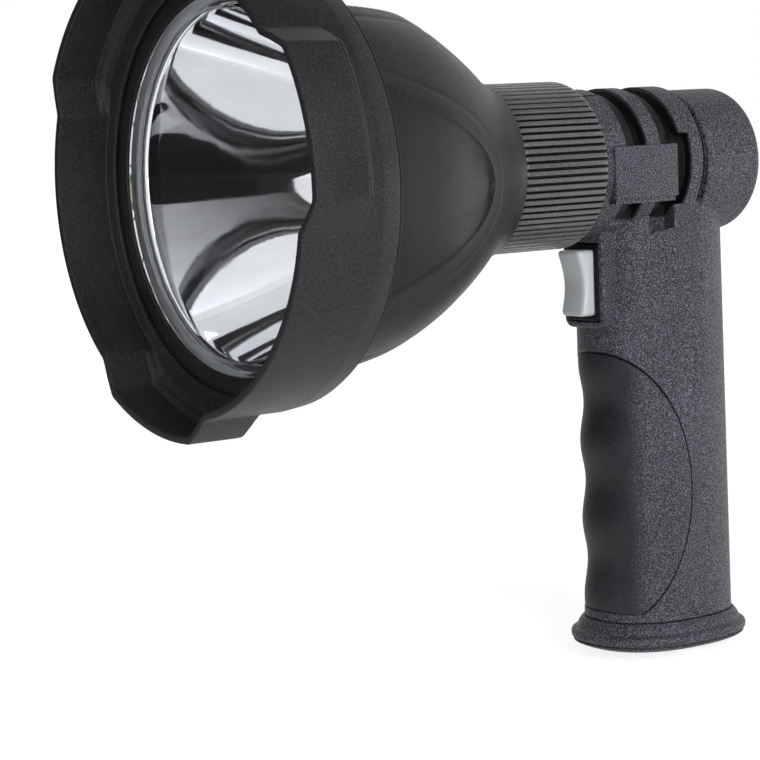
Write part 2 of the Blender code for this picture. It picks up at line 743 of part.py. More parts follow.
def make_neck():
    """The tube that joins head and barrel, the nut on its front end and its two seals."""
    barrel = BARREL_Y - RIM_Y
    end = barrel + TUBE_END_STATION
    floor = TUBE_RADIUS - SEAL_GROOVE_DEPTH
    outer = [(TUBE_FRONT, TUBE_RADIUS)]
    for station in seal_stations():
        half = SEAL_RADIUS + GAP
        outer += [(station - half, TUBE_RADIUS), (station - half, floor),
                  (station + half, floor), (station + half, TUBE_RADIUS)]
    flange = TUBE_RADIUS + TUBE_FLANGE_RISE
    outer += [(end - TUBE_FLANGE_LENGTH, TUBE_RADIUS), (end - TUBE_FLANGE_LENGTH, flange), (end, flange)]
    neck = turned("neck_tube", outer, [(TUBE_FRONT, TUBE_BORE), (end, TUBE_BORE)], RIM_Y, "aluminium", TUBE_STEPS)
    half = PIN_RADIUS + GAP
    front = RING_Y - RING_PLAY + PIN_STATION
    slot = box(
        "pin_slots",
        (-half, front - half, BEAM_HEIGHT - TUBE_RADIUS - OVERRUN),
        (half, front + CAM_TRAVEL + half, BEAM_HEIGHT + TUBE_RADIUS + OVERRUN),
    )
    cut(neck, slot)

    rear = HEAD_LENGTH - NECK_WALL - GAP
    turned(
        "neck_nut",
        [(rear - NUT_LENGTH, TUBE_RADIUS + NUT_RISE), (rear, TUBE_RADIUS + NUT_RISE)],
        [(rear - NUT_LENGTH, TUBE_RADIUS + GAP), (rear, TUBE_RADIUS + GAP)],
        RIM_Y, "aluminium", TUBE_STEPS,
    )
    for name, station in zip(("seal_front", "seal_rear"), seal_stations()):
        radius = floor + GAP + SEAL_RADIUS
        section = [
            (station + SEAL_RADIUS * math.cos(2 * math.pi * part / SEAL_SIDES),
             radius + SEAL_RADIUS * math.sin(2 * math.pi * part / SEAL_SIDES))
            for part in range(SEAL_SIDES)
        ]
        sections = [around(section, 360 * part / SEAL_STEPS) for part in range(SEAL_STEPS)]
        closed_mesh(name, ring_grid(sections), "seal_rubber", (0, RIM_Y, BEAM_HEIGHT))


def rib_outline(radius, depth, station):
    """One turn of the knurl's outline: a flat-topped rib and a groove for each rib."""
    pitch = 360 / RIB_COUNT
    top = pitch * RIB_TOP_SHARE
    outline = []
    for rib in range(RIB_COUNT):
        start = rib * pitch
        outline += around([(station, radius)], start) + around([(station, radius)], start + top)
        outline += around([(station, radius - depth)], start + (pitch + top) / 2)
    return outline


def cam_groove(start_angle):
    """Cutter for one helical groove in the ring's bore, which carries a pin of the carrier."""
    half = PIN_RADIUS + 2 * GAP
    inside = TUBE_RADIUS - OVERRUN / 2
    outside = RING_BORE + CAM_DEPTH
    run_out = math.degrees((PIN_RADIUS + GAP) / RING_BORE)
    sections = []
    for part in range(CAM_PARTS + 1):
        angle = -run_out + (CAM_TURN + 2 * run_out) * part / CAM_PARTS
        station = PIN_STATION - RING_PLAY + CAM_TRAVEL * angle / CAM_TURN
        corners = [(station - half, inside), (station + half, inside),
                   (station + half, outside), (station - half, outside)]
        sections.append(around(corners, start_angle + angle))
    return closed_mesh(f"cam_groove_{start_angle}", stack_grid(sections), None, (0, RING_Y, BEAM_HEIGHT))


def make_focus_ring():
    """The knurled focus ring, its ribs chamfered at both ends, with two cam grooves inside."""
    low = RING_RADIUS - RIB_DEPTH
    sections = [
        rib_outline(low, GAP, 0),
        rib_outline(RING_RADIUS, RIB_DEPTH, RIB_CHAMFER),
        rib_outline(RING_RADIUS, RIB_DEPTH, RING_LENGTH - RIB_CHAMFER),
        rib_outline(low, GAP, RING_LENGTH),
    ]
    ring = closed_mesh("focus_ring", stack_grid(sections), "ring_plastic", (0, RING_Y, BEAM_HEIGHT))
    bore = turned(
        "ring_bore", [(-OVERRUN, 0), (-OVERRUN, RING_BORE), (RING_LENGTH + OVERRUN, RING_BORE),
                      (RING_LENGTH + OVERRUN, 0)], [], RING_Y,
    )
    cut(ring, bore, cam_groove(90), cam_groove(270))


def make_carrier():
    """The sliding carrier: a piston in the neck tube with a post that holds the light source."""
    piston = TUBE_BORE - GAP
    end = PISTON_STATION + PISTON_LENGTH
    carrier = turned(
        "led_carrier",
        [(CARRIER_FRONT, POST_RADIUS), (PISTON_STATION, POST_RADIUS), (PISTON_STATION, piston), (end, piston)],
        [(CARRIER_FRONT, LEAD_BORE_RADIUS), (end, LEAD_BORE_RADIUS)],
        RIM_Y, "aluminium", TUBE_STEPS,
    )
    pin_y = RIM_Y + HEAD_LENGTH + PIN_STATION
    tip = RING_BORE + CAM_DEPTH - PIN_TIP_GAP
    for name, side in (("cam_pin_top", 1), ("cam_pin_bottom", -1)):
        foot = (0, pin_y, BEAM_HEIGHT + side * (tip - PIN_LENGTH))
        head = (0, pin_y, BEAM_HEIGHT + side * tip)
        rod(name, foot, head, PIN_RADIUS, "steel", TINY_STEPS)
        seat_foot = (0, pin_y, BEAM_HEIGHT + side * (tip - PIN_LENGTH - GAP))
        cut(carrier, rod(f"{name}_seat", seat_foot, head, PIN_RADIUS + GAP, None, TINY_STEPS))

    board = CARRIER_FRONT - GAP - LED_BOARD_LENGTH
    turned(
        "led_board",
        [(board, 0), (board, LED_BOARD_RADIUS), (board + LED_BOARD_LENGTH, LED_BOARD_RADIUS),
         (board + LED_BOARD_LENGTH, 0)],
        [], RIM_Y, "board", 24,
    )
    base = board - GAP - LED_BASE_LENGTH
    dome = []
    for part in range(LED_DOME_PARTS):
        angle = math.pi / 2 * part / LED_DOME_PARTS
        dome.append((base - LED_DOME_RADIUS * math.cos(angle), LED_DOME_RADIUS * math.sin(angle)))
    turned(
        "led_emitter",
        dome + [(base, LED_DOME_RADIUS), (base, LED_BASE_RADIUS),
                (base + LED_BASE_LENGTH, LED_BASE_RADIUS), (base + LED_BASE_LENGTH, 0)],
        [], RIM_Y, "led_phosphor", SMALL_STEPS,
    )


def make_led_leads():
    """Two leads from the light source, through the carrier and a hole in the driver board."""
    front = RIM_Y + CARRIER_FRONT + GAP
    rear = BARREL_Y + LEAD_REACH
    for name, side, slot in (("led_lead_red", 1, "red_wire"), ("led_lead_black", -1, "black_wire")):
        x = side * (LEAD_RADIUS + GAP)
        tube(name, [(x, front, BEAM_HEIGHT), (x, rear, BEAM_HEIGHT)], LEAD_RADIUS, slot, 1)


def section(half_front, half_rear, half_width, height, centre_y=0.0):
    """A rounded grip section at a height: its depth ahead of and behind the centre may differ."""
    power = 2 / GRIP_POWER
    points = []
    for part in range(SECTION_POINTS):
        angle = 2 * math.pi * part / SECTION_POINTS
        cosine, sine = math.cos(angle), math.sin(angle)
        depth = half_rear if cosine > 0 else half_front
        y = depth * math.copysign(abs(cosine) ** power, cosine)
        x = half_width * math.copysign(abs(sine) ** power, sine)
        points.append(Vector((x, centre_y + y, height)))
    return points


def grip_section(height, front_inset=0.0, inset=0.0, press=0.0):
    """The grip's outline at a height, made smaller by the insets and pressed in at the front."""
    flare = GRIP_FLARE * (GRIP_TOP - height) / (GRIP_TOP - GRIP_BOTTOM)
    half_front = GRIP_HALF_DEPTH - front_inset
    half_rear = GRIP_HALF_DEPTH + flare - inset
    points = section(half_front, half_rear, GRIP_HALF_WIDTH + flare / 2 - inset, height)
    for point in points:
        forward = max(-point.y / half_front, 0)
        point.y += press * forward ** 3
    return points


def grip_solid(name, front_inset=0.0, inset=0.0):
    """A guide solid of the whole grip, made smaller by an inset at its front and one elsewhere."""
    rows = [grip_section(height, front_inset, inset) for height in (GRIP_BOTTOM, GRIP_TOP)]
    return closed_mesh(name, stack_grid(rows), None)


def boss_places():
    """The screws along X: (y, z, seat, reach) with seat and reach measured from the split plane."""
    return [
        (-LOW_BOSS_FRONT, LOW_BOSS_HEIGHT, SCREW_SEAT, SCREW_REACH),
        (BOSS_REAR, LOW_BOSS_HEIGHT, SCREW_SEAT, SCREW_REACH),
        (-BOSS_FRONT, HIGH_BOSS_HEIGHT, SCREW_SEAT, SCREW_REACH),
        (BOSS_REAR, TRIGGER_Z, SCREW_SEAT, SCREW_REACH),
        (BARREL_Y + BARREL_SCREW_STATION, BEAM_HEIGHT - BARREL_SCREW_DROP, BARREL_SCREW_SEAT,
         BARREL_SCREW_REACH),
    ]


def slot_cutter(name, station):
    """One stepped groove round the barrel, kept off the middle of the grip below."""
    step = station + SLOT_LENGTH * SLOT_STEP_SHARE
    end = station + SLOT_LENGTH
    reach = BARREL_RADIUS + SLOT_REACH
    groove = turned(
        name, [(station, reach), (end, reach)],
        [(station, BARREL_RADIUS - SLOT_STEP_DEPTH), (step, BARREL_RADIUS - SLOT_STEP_DEPTH),
         (step, BARREL_RADIUS - SLOT_DEPTH), (end, BARREL_RADIUS - SLOT_DEPTH)],
        BARREL_Y, None, SLOT_STEPS,
    )
    keep = box(
        f"{name}_keep",
        (-FLANK_REACH, BARREL_Y + station - OVERRUN, BEAM_HEIGHT - reach - OVERRUN),
        (FLANK_REACH, BARREL_Y + end + OVERRUN, BEAM_HEIGHT - BORE_RADIUS / 2),
    )
    return cut(groove, keep)


def barrel_solid():
    """The barrel's turned outside, with its front seat for the neck tube and its rounded tail."""
    fillet = []
    for part in range(TAIL_FILLET_PARTS + 1):
        angle = math.pi / 2 * part / TAIL_FILLET_PARTS
        fillet.append((BARREL_LENGTH - TAIL_FILLET * (1 - math.sin(angle)),
                       TAIL_RADIUS - TAIL_FILLET * (1 - math.cos(angle))))
    groove = TAIL_STATION - TAIL_GROOVE_LENGTH
    neck = BARREL_RADIUS - TAIL_GROOVE_DEPTH
    overlap = TAIL_STATION + OVERRUN
    outer = [(0, 0), (0, BARREL_RADIUS), (groove, BARREL_RADIUS), (groove, neck), (overlap, neck), (overlap, 0)]
    tail = [(TAIL_STATION, 0), (TAIL_STATION, TAIL_RADIUS)] + fillet + [(BARREL_LENGTH, 0)]
    barrel = turned("barrel_solid", outer, [], BARREL_Y, None, BARREL_STEPS)
    low = (0, BEAM_HEIGHT - TAIL_DROP)
    return join(barrel, turned("tail_solid", tail, [], BARREL_Y, None, BARREL_STEPS, low))


def housing_guide():
    """The whole handle and barrel as one hollow guide solid, before it is split into halves."""
    housing = barrel_solid()
    low = BEAM_HEIGHT - PAD_LOW
    high = low + PAD_HEIGHT
    face = BARREL_RADIUS + PAD_RISE
    pad_start, pad_end = BARREL_Y + PAD_STATION, BARREL_Y + PAD_STATION + PAD_LENGTH
    collar_half = TRIGGER_WIDTH / 2 + GAP + FRAME_RIM + GAP + COLLAR_RIM
    collar_drop = TRIGGER_HEIGHT / 2 + GAP + FRAME_RIM + GAP + COLLAR_RIM
    join(
        housing,
        grip_solid("grip_outer"),
        box("trigger_collar", (-collar_half, -COLLAR_FACE, TRIGGER_Z - collar_drop),
            (collar_half, 0, BEAM_HEIGHT - BARREL_RADIUS + OVERRUN), None, COLLAR_BEVEL),
    )
    pocket = box("pocket", (-face - OVERRUN, pad_end - OVERRUN, low - POCKET_MARGIN),
                 (face + OVERRUN, pad_end + POCKET_LENGTH, high + POCKET_MARGIN))
    floor = BARREL_RADIUS - POCKET_DEPTH
    keep = turned("pocket_keep", [(0, 0), (0, floor), (BARREL_LENGTH, floor), (BARREL_LENGTH, 0)], [],
                  BARREL_Y, None, BARREL_STEPS)
    cut(housing, slot_cutter("slot_one", SLOT_ONE), slot_cutter("slot_two", SLOT_TWO), cut(pocket, keep))
    join(
        housing,
        box("pads", (-face, pad_start, low), (face, pad_end, high)),
        box("pad_ledges", (-face + PAD_LEDGE_DROP, pad_start + PAD_LEDGE_INSET, low - PAD_LEDGE_HEIGHT),
            (face - PAD_LEDGE_DROP, pad_end - PAD_LEDGE_INSET, low + OVERRUN)),
    )
    return cut(housing, insert_recess(), housing_cavity(), *housing_holes())


def insert_disc(name, margin=0.0):
    """The round outline of the finger insert, seen from the side, as a disc across the grip."""
    front = GRIP_HALF_DEPTH - INSERT_BACK
    centre_y = -INSERT_BACK - INSERT_RADIUS
    top_groove = FINGER_FIRST_HEIGHT + (FINGER_COUNT - 1) * FINGER_PITCH
    centre_z = (top_groove + FINGER_FIRST_HEIGHT) / 2 - front / 16
    half = GRIP_HALF_WIDTH + GRIP_FLARE + OVERRUN
    return rod(
        name, (-half, centre_y, centre_z), (half, centre_y, centre_z), INSERT_RADIUS + margin, None, INSERT_STEPS
    )


def insert_floor(name, margin=0.0):
    """What is taken off below the finger insert."""
    half = GRIP_HALF_DEPTH + GRIP_FLARE + OVERRUN
    top = GRIP_BOTTOM + INSERT_LOW_MARGIN - margin
    return box(name, (-half, -INSERT_RADIUS * 3, -INSERT_RADIUS), (half, half, top))


def insert_recess():
    """Cutter for the seat of the finger insert in the housing."""
    seat = grip_solid("insert_seat", INSERT_THICKNESS + FINGER_DEPTH + GAP, INSERT_THICKNESS + GAP)
    return cut(insert_disc("insert_recess", GAP), seat, insert_floor("seat_floor", GAP))


def make_finger_grip():
    """The soft insert with the finger grooves, which wraps round the front of the grip."""
    step = FINGER_PITCH / FINGER_PARTS
    first = FINGER_FIRST_HEIGHT - FINGER_PITCH
    rows = []
    for part in range((FINGER_COUNT + 1) * FINGER_PARTS + 1):
        height = first + step * part
        wave = (1 + math.cos(2 * math.pi * (height - FINGER_FIRST_HEIGHT) / FINGER_PITCH)) / 2
        press = INSERT_STEP + (FINGER_DEPTH - INSERT_STEP) * wave
        rows.append(grip_section(height, 0.0, 0.0, press))
    insert = closed_mesh("finger_grip", stack_grid(rows), "grip_rubber")
    combine(insert, insert_disc("insert_outline"), "INTERSECT")
    core = grip_solid("insert_core", INSERT_THICKNESS + FINGER_DEPTH, INSERT_THICKNESS)
    cut(insert, core, insert_floor("insert_floor"))


def housing_cavity():
    """Cutter for the hollow of the handle and barrel, with the screw bosses left standing."""
    heights = (GRIP_BOTTOM - OVERRUN, CAVITY_TOP)
    rows = [section(CAVITY_HALF_DEPTH, CAVITY_HALF_DEPTH, CAVITY_HALF_WIDTH, height, CELL_BACK)
            for height in heights]
    hollow = closed_mesh("cavity", stack_grid(rows), None)
    plate = BARREL_LENGTH - TAIL_LIP_LENGTH
    plate_front = plate - TAIL_PLATE_LENGTH - 2 * GAP
    seat = TUBE_RADIUS + TUBE_FLANGE_RISE + GAP
    seat_end = TUBE_END_STATION + GAP
    bore = turned(
        "barrel_bore",
        [(-OVERRUN, 0), (-OVERRUN, TUBE_RADIUS + GAP), (SEAT_WALL, TUBE_RADIUS + GAP), (SEAT_WALL, seat),
         (seat_end, seat), (seat_end, BORE_RADIUS), (plate_front, BORE_RADIUS),
         (plate_front, BORE_RADIUS + TAIL_PLATE_RISE + GAP), (plate, BORE_RADIUS + TAIL_PLATE_RISE + GAP),
         (plate, BORE_RADIUS + TAIL_PLATE_RISE - TAIL_LIP_WIDTH),
         (BARREL_LENGTH + OVERRUN, BORE_RADIUS + TAIL_PLATE_RISE - TAIL_LIP_WIDTH),
         (BARREL_LENGTH + OVERRUN, 0)],
        [], BARREL_Y,
    )
    upper_top = BEAM_HEIGHT - math.sqrt(BORE_RADIUS ** 2 - UPPER_HALF_WIDTH ** 2)
    frame_half = TRIGGER_WIDTH / 2 + GAP + FRAME_RIM
    frame_high = TRIGGER_HEIGHT / 2 + GAP + FRAME_RIM
    flange_front = -FRAME_REAR - FRAME_FLANGE_LENGTH - GAP
    flange_room = FRAME_FLANGE + GAP
    room_half = TRIGGER_WIDTH / 2 + TRIGGER_FLANGE + 2 * GAP
    room_high = TRIGGER_HEIGHT / 2 + TRIGGER_FLANGE + 2 * GAP
    join(
        hollow,
        box("upper_cavity", (-UPPER_HALF_WIDTH, -UPPER_FRONT, CAVITY_TOP - OVERRUN),
            (UPPER_HALF_WIDTH, UPPER_REAR, upper_top)),
        bore,
        box("frame_opening", (-frame_half - GAP, -COLLAR_FACE - OVERRUN, TRIGGER_Z - frame_high - GAP),
            (frame_half + GAP, flange_front + OVERRUN / 4, TRIGGER_Z + frame_high + GAP)),
        box("frame_slot", (-frame_half - flange_room, flange_front, TRIGGER_Z - frame_high - flange_room),
            (frame_half + flange_room, -FRAME_REAR + GAP, TRIGGER_Z + frame_high + GAP)),
        box("trigger_room", (-room_half, -FRAME_REAR - GAP, TRIGGER_Z - room_high),
            (room_half, -UPPER_FRONT + OVERRUN, TRIGGER_Z + room_high)),
    )
    for index, (y, z, seat_depth, reach) in enumerate(boss_places()):
        half = max(seat_depth, reach) + OVERRUN * 2
        cut(hollow, rod(f"boss_{index}", (-half, y, z), (half, y, z), BOSS_RADIUS))
    for name, side in (("left", 1), ("right", -1)):
        inner_x = side * (BASE_SCREW_REACH - BASE_BOSS_HALF)
        outer_x = side * (CAVITY_HALF_WIDTH + OVERRUN)
        low_x, high_x = min(inner_x, outer_x), max(inner_x, outer_x)
        column_top = GRIP_BOTTOM + BASE_SPIGOT + GAP + BASE_SCREW_LENGTH
        cut(hollow, box(f"base_boss_{name}", (low_x, CELL_BACK - BASE_BOSS_HALF, GRIP_BOTTOM + BASE_SPIGOT + GAP),
                        (high_x, CELL_BACK + BASE_BOSS_HALF, column_top)))
    return hollow


def housing_holes():
    """Cutters for the screw holes and counterbores of the two halves."""
    tools = []
    for index, (y, z, seat, reach) in enumerate(boss_places()):
        hole = SCREW_RADIUS + GAP
        head = SCREW_HEAD_RADIUS + GAP
        outside = BARREL_RADIUS + PAD_RISE + OVERRUN
        tools.append(rod(f"hole_{index}", (-seat - OVERRUN, y, z), (reach + GAP, y, z), hole))
        tools.append(rod(f"counterbore_{index}", (-outside, y, z), (-seat, y, z), head))
    for name, side in (("left", 1), ("right", -1)):
        x = side * BASE_SCREW_REACH
        foot = GRIP_BOTTOM - OVERRUN
        top = SCREW_HEAD_LENGTH + BASE_SCREW_LENGTH + GAP * 2
        tools.append(rod(f"base_hole_{name}", (x, CELL_BACK, foot), (x, CELL_BACK, top), SCREW_RADIUS + GAP))
    return tools


def make_housing():
    """The left and right shells, which meet on the plane X = 0."""
    guide = housing_guide()
    reach = BEAM_HEIGHT
    for name, side in (("housing_left", 1), ("housing_right", -1)):
        low = (0, -reach, -reach) if side > 0 else (-reach, -reach, -reach)
        high = (reach, reach, 2 * reach) if side > 0 else (0, reach, 2 * reach)
        combine(box(name, low, high, "housing_plastic"), guide, "INTERSECT")


def screw(name, seat, direction, length, slot="steel"):
    """A round-headed screw whose head sits behind the seat point and whose shank runs ahead of it."""
    outer = [(-SCREW_HEAD_LENGTH, 0), (-SCREW_HEAD_LENGTH, SCREW_HEAD_RADIUS), (0, SCREW_HEAD_RADIUS),
             (0, SCREW_RADIUS), (length, SCREW_RADIUS), (length, 0)]
    socket = [(-SCREW_HEAD_LENGTH + SCREW_SOCKET_DEPTH, 0), (-SCREW_HEAD_LENGTH + SCREW_SOCKET_DEPTH,
                                                          SCREW_SOCKET_RADIUS)]
    outer = socket + [(-SCREW_HEAD_LENGTH, SCREW_SOCKET_RADIUS)] + outer[1:]
    made = turned(name, outer, [], 0, slot, TINY_STEPS)
    made.location = seat
    made.rotation_euler = Vector(direction).to_track_quat("Z", "Y").to_euler()
    return made


def make_screws():
    """Five screws across the split and two up through the base."""
    for index, (y, z, seat, reach) in enumerate(boss_places()):
        screw(f"housing_screw_{index + 1}", (-seat - GAP, y, z), (1, 0, 0), seat + reach)
    for name, side in (("left", 1), ("right", -1)):
        seat = (side * BASE_SCREW_REACH, CELL_BACK, SCREW_HEAD_LENGTH)
        screw(f"base_screw_{name}", seat, (0, 0, 1), BASE_SCREW_LENGTH)


def make_base():
    """The flared base that plugs the grip, and the brass tripod insert that stands out below it."""
    rows = []
    for along, share in BASE_SHARES:
        out = BASE_FLARE * share
        rows.append(section(GRIP_HALF_DEPTH + out, GRIP_HALF_DEPTH + GRIP_FLARE + out,
                            GRIP_HALF_WIDTH + GRIP_FLARE / 2 + out, BASE_HEIGHT * along))
    spigot = section(CAVITY_HALF_DEPTH - GAP, CAVITY_HALF_DEPTH - GAP, CAVITY_HALF_WIDTH - GAP, 0, CELL_BACK)
    for height in (BASE_HEIGHT, BASE_HEIGHT + BASE_SPIGOT):
        rows.append([Vector((point.x, point.y, height)) for point in spigot])
    base = closed_mesh("base_plate", stack_grid(rows), "housing_plastic")
    seat = INSERT_BODY_LENGTH + GAP
    tools = [rod("insert_bore", (0, INSERT_NUT_BACK, -OVERRUN), (0, INSERT_NUT_BACK, seat),
                 INSERT_BODY_RADIUS + GAP, None, 20)]
    for name, side in (("left", 1), ("right", -1)):
        x = side * BASE_SCREW_REACH
        top = BASE_HEIGHT + BASE_SPIGOT + OVERRUN
        tools.append(rod(f"base_clearance_{name}", (x, CELL_BACK, -OVERRUN), (x, CELL_BACK, top),
                         SCREW_RADIUS + GAP))
        tools.append(rod(f"base_recess_{name}", (x, CELL_BACK, -OVERRUN), (x, CELL_BACK, SCREW_HEAD_LENGTH + GAP),
                         SCREW_HEAD_RADIUS + GAP))
    cut(base, *tools)

    face = -INSERT_NUT_DROP
    floor = face + TRIPOD_THREAD_DEPTH
    outer = [(INSERT_BODY_LENGTH, 0), (INSERT_BODY_LENGTH, INSERT_BODY_RADIUS), (-GAP, INSERT_BODY_RADIUS),
             (-GAP, INSERT_NUT_RADIUS), (face + INSERT_NUT_CHAMFER, INSERT_NUT_RADIUS),
             (face, INSERT_NUT_RADIUS - INSERT_NUT_CHAMFER), (face, TRIPOD_THREAD_RADIUS),
             (floor, TRIPOD_THREAD_RADIUS), (floor, 0)]
    nut = turned("tripod_insert", list(reversed(outer)), [], 0, "brass", 20)
    nut.location = (0, INSERT_NUT_BACK, 0)
    nut.rotation_euler = (0, 0, 0)


def make_battery():
    """Two cells side by side in a holder, with their contacts and the leads to the driver board."""
    places = {
        "front": CELL_BACK - (CELL_DIAMETER + GAP) / 2,
        "rear": CELL_BACK + (CELL_DIAMETER + GAP) / 2,
    }
    radius = CELL_DIAMETER / 2
    for name, y in places.items():
        outer = [(0, 0), (0, radius), (CELL_LENGTH - CELL_CROWN, radius), (CELL_LENGTH - CELL_CROWN,
                                                                         CELL_POLE_RADIUS),
                 (CELL_LENGTH, CELL_POLE_RADIUS), (CELL_LENGTH, 0)]
        cell = turned(f"battery_cell_{name}", outer, [], 0, "cell_sleeve", 24)
        cell.location = (0, y, CELL_BOTTOM)
        cell.rotation_euler = (0, 0, 0)
        contact_z = CELL_TOP + GAP
        box(f"contact_{name}", (-CONTACT_HALF_WIDTH, y - CONTACT_HALF_WIDTH, contact_z),
            (CONTACT_HALF_WIDTH, y + CONTACT_HALF_WIDTH, contact_z + CONTACT_LENGTH), "contact_metal")
    bridge_z = HOLDER_BOTTOM + HOLDER_PLATE + GAP
    box("contact_bridge", (-CONTACT_HALF_WIDTH, places["front"] - CONTACT_HALF_WIDTH, bridge_z),
        (CONTACT_HALF_WIDTH, places["rear"] + CONTACT_HALF_WIDTH, bridge_z + CONTACT_LENGTH), "contact_metal")

    front = places["front"] - radius / 2
    rear = places["rear"] + radius / 2
    rail_y = CELL_BACK + BASE_BOSS_HALF + 2 * GAP
    rail_end = rail_y + HOLDER_RAIL_WIDTH
    wall = -radius - GAP
    holder = box("battery_holder", (-HOLDER_HALF_WIDTH, front, HOLDER_BOTTOM),
                 (HOLDER_HALF_WIDTH, rear, HOLDER_BOTTOM + HOLDER_PLATE), "inner_plastic")
    low, high = HOLDER_BOTTOM + HOLDER_PLATE / 4, HOLDER_TOP - HOLDER_PLATE / 4
    frame = box("holder_rail", (wall - HOLDER_RAIL_DEPTH, rail_y, low), (0, rail_end, high))
    window = box("holder_window", (wall, rail_y - OVERRUN, HOLDER_BOTTOM + HOLDER_PLATE),
                 (OVERRUN, rail_end + OVERRUN, HOLDER_TOP - HOLDER_PLATE))
    top = box("holder_top", (-HOLDER_HALF_WIDTH, front, HOLDER_TOP - HOLDER_PLATE),
              (HOLDER_HALF_WIDTH, rear, HOLDER_TOP))
    join(holder, top, cut(frame, window))
    for name, side, slot in (("battery_wire_red", 1, "red_wire"), ("battery_wire_black", -1, "black_wire")):
        x = side * WIRE_SPREAD
        level = BEAM_HEIGHT - WIRE_DROP
        end = BARREL_Y + DRIVER_STATION + DRIVER_LENGTH + GAP
        points = [(x, WIRE_BACK, HOLDER_TOP + GAP), (x, WIRE_BACK, level - WIRE_BEND)]
        for part in range(1, 5):
            angle = math.pi / 2 * part / 4
            points.append((x, WIRE_BACK - WIRE_BEND * (1 - math.cos(angle)),
                           level - WIRE_BEND * (1 - math.sin(angle))))
        points.append((x, end, level))
        tube(name, points, WIRE_RADIUS, slot, 1)


def make_trigger():
    """The pale trigger with its dished face, its frame, its return spring and the switch."""
    half, high = TRIGGER_WIDTH / 2, TRIGGER_HEIGHT / 2
    face = -FRAME_FACE - TRIGGER_REACH
    outline = []
    for part in range(DISH_PARTS + 1):
        share = part / DISH_PARTS
        dish = TRIGGER_DISH * math.sin(math.pi * share)
        outline.append((face + dish, high * (1 - 2 * share)))
    root_y = (TRIGGER_FLANGE_Y + TRIGGER_BACK_Y) / 2
    outline += [(root_y, -high), (root_y, high)]
    rows = [[(x, y, z) for y, z in outline] for x in (-half, half)]
    trigger = closed_mesh("trigger", stack_grid(rows), "trigger_plastic", (0, 0, TRIGGER_Z))
    edge = trigger.modifiers.new("edges", "BEVEL")
    edge.width = TRIGGER_BEVEL
    edge.segments = 1
    edge.limit_method = "ANGLE"
    edge.angle_limit = math.radians(60)
    flange = box("trigger_flange", (-half - TRIGGER_FLANGE, TRIGGER_FLANGE_Y, TRIGGER_Z - high - TRIGGER_FLANGE),
                 (half + TRIGGER_FLANGE, TRIGGER_BACK_Y, TRIGGER_Z + high + TRIGGER_FLANGE))
    boss_end = (0, TRIGGER_BACK_Y + TRIGGER_BOSS_LENGTH, TRIGGER_Z)
    join(trigger, flange, rod("trigger_boss", (0, root_y, TRIGGER_Z), boss_end, TRIGGER_BOSS_RADIUS))

    frame_half = half + GAP + FRAME_RIM
    frame_high = high + GAP + FRAME_RIM
    frame = box("trigger_frame", (-frame_half, -FRAME_FACE, TRIGGER_Z - frame_high),
                (frame_half, -FRAME_REAR, TRIGGER_Z + frame_high), "seal_rubber", FRAME_BEVEL)
    flange = box("frame_flange", (-frame_half - FRAME_FLANGE, -FRAME_REAR - FRAME_FLANGE_LENGTH,
                                  TRIGGER_Z - frame_high - FRAME_FLANGE),
                 (frame_half + FRAME_FLANGE, -FRAME_REAR, TRIGGER_Z + frame_high - GAP))
    hole = box("frame_hole", (-half - GAP, -FRAME_FACE - OVERRUN, TRIGGER_Z - high - GAP),
               (half + GAP, -FRAME_REAR + OVERRUN, TRIGGER_Z + high + GAP))
    cut(join(frame, flange), hole)

    start = TRIGGER_BACK_Y + GAP + SPRING_WIRE_RADIUS
    end = SWITCH_Y - GAP - SPRING_WIRE_RADIUS
    count = SPRING_TURNS * SPRING_TURN_POINTS
    coil = []
    for part in range(count + 1):
        angle = 2 * math.pi * part / SPRING_TURN_POINTS
        coil.append((SPRING_RADIUS * math.cos(angle), start + (end - start) * part / count,
                     TRIGGER_Z + SPRING_RADIUS * math.sin(angle)))
    tube("trigger_spring", coil, SPRING_WIRE_RADIUS, "steel", 1)

    side = SWITCH_SIDE / 2
    body = box("switch_body", (-side, SWITCH_Y, TRIGGER_Z - side), (side, SWITCH_Y + SWITCH_LENGTH,
                                                                   TRIGGER_Z + side), "inner_plastic")
    ears = box("switch_ears", (-UPPER_HALF_WIDTH + GAP, SWITCH_Y + SWITCH_LENGTH - SWITCH_EAR_LENGTH,
                               TRIGGER_Z - SWITCH_EAR_HEIGHT / 2),
               (UPPER_HALF_WIDTH - GAP, SWITCH_Y + SWITCH_LENGTH, TRIGGER_Z + SWITCH_EAR_HEIGHT / 2))
    bore_end = BUTTON_Y + BUTTON_LENGTH + TRIGGER_TRAVEL + GAP
    bore = rod("button_bore", (0, SWITCH_Y - OVERRUN, TRIGGER_Z), (0, bore_end, TRIGGER_Z), BUTTON_RADIUS + GAP)
    cut(join(body, ears), bore)
    rod("switch_button", (0, BUTTON_Y, TRIGGER_Z), (0, BUTTON_Y + BUTTON_LENGTH, TRIGGER_Z), BUTTON_RADIUS,
        "inner_plastic")


def make_driver():
    """The driver board behind the neck tube, with its inductor and capacitor."""
    radius = BORE_RADIUS - GAP
    end = DRIVER_STATION + DRIVER_LENGTH
    turned("driver_board", [(DRIVER_STATION, radius), (end, radius)],
           [(DRIVER_STATION, LEAD_BORE_RADIUS), (end, LEAD_BORE_RADIUS)], BARREL_Y, "board", 24)
    y = BARREL_Y + end + GAP
    rise = BEAM_HEIGHT + INDUCTOR_RISE
    rod("driver_inductor", (0, y, rise), (0, y + INDUCTOR_LENGTH, rise), INDUCTOR_RADIUS, "inner_plastic")
    rod("driver_capacitor", (CAPACITOR_SIDE, y, BEAM_HEIGHT), (CAPACITOR_SIDE, y + CAPACITOR_LENGTH, BEAM_HEIGHT),
        CAPACITOR_RADIUS, "contact_metal")


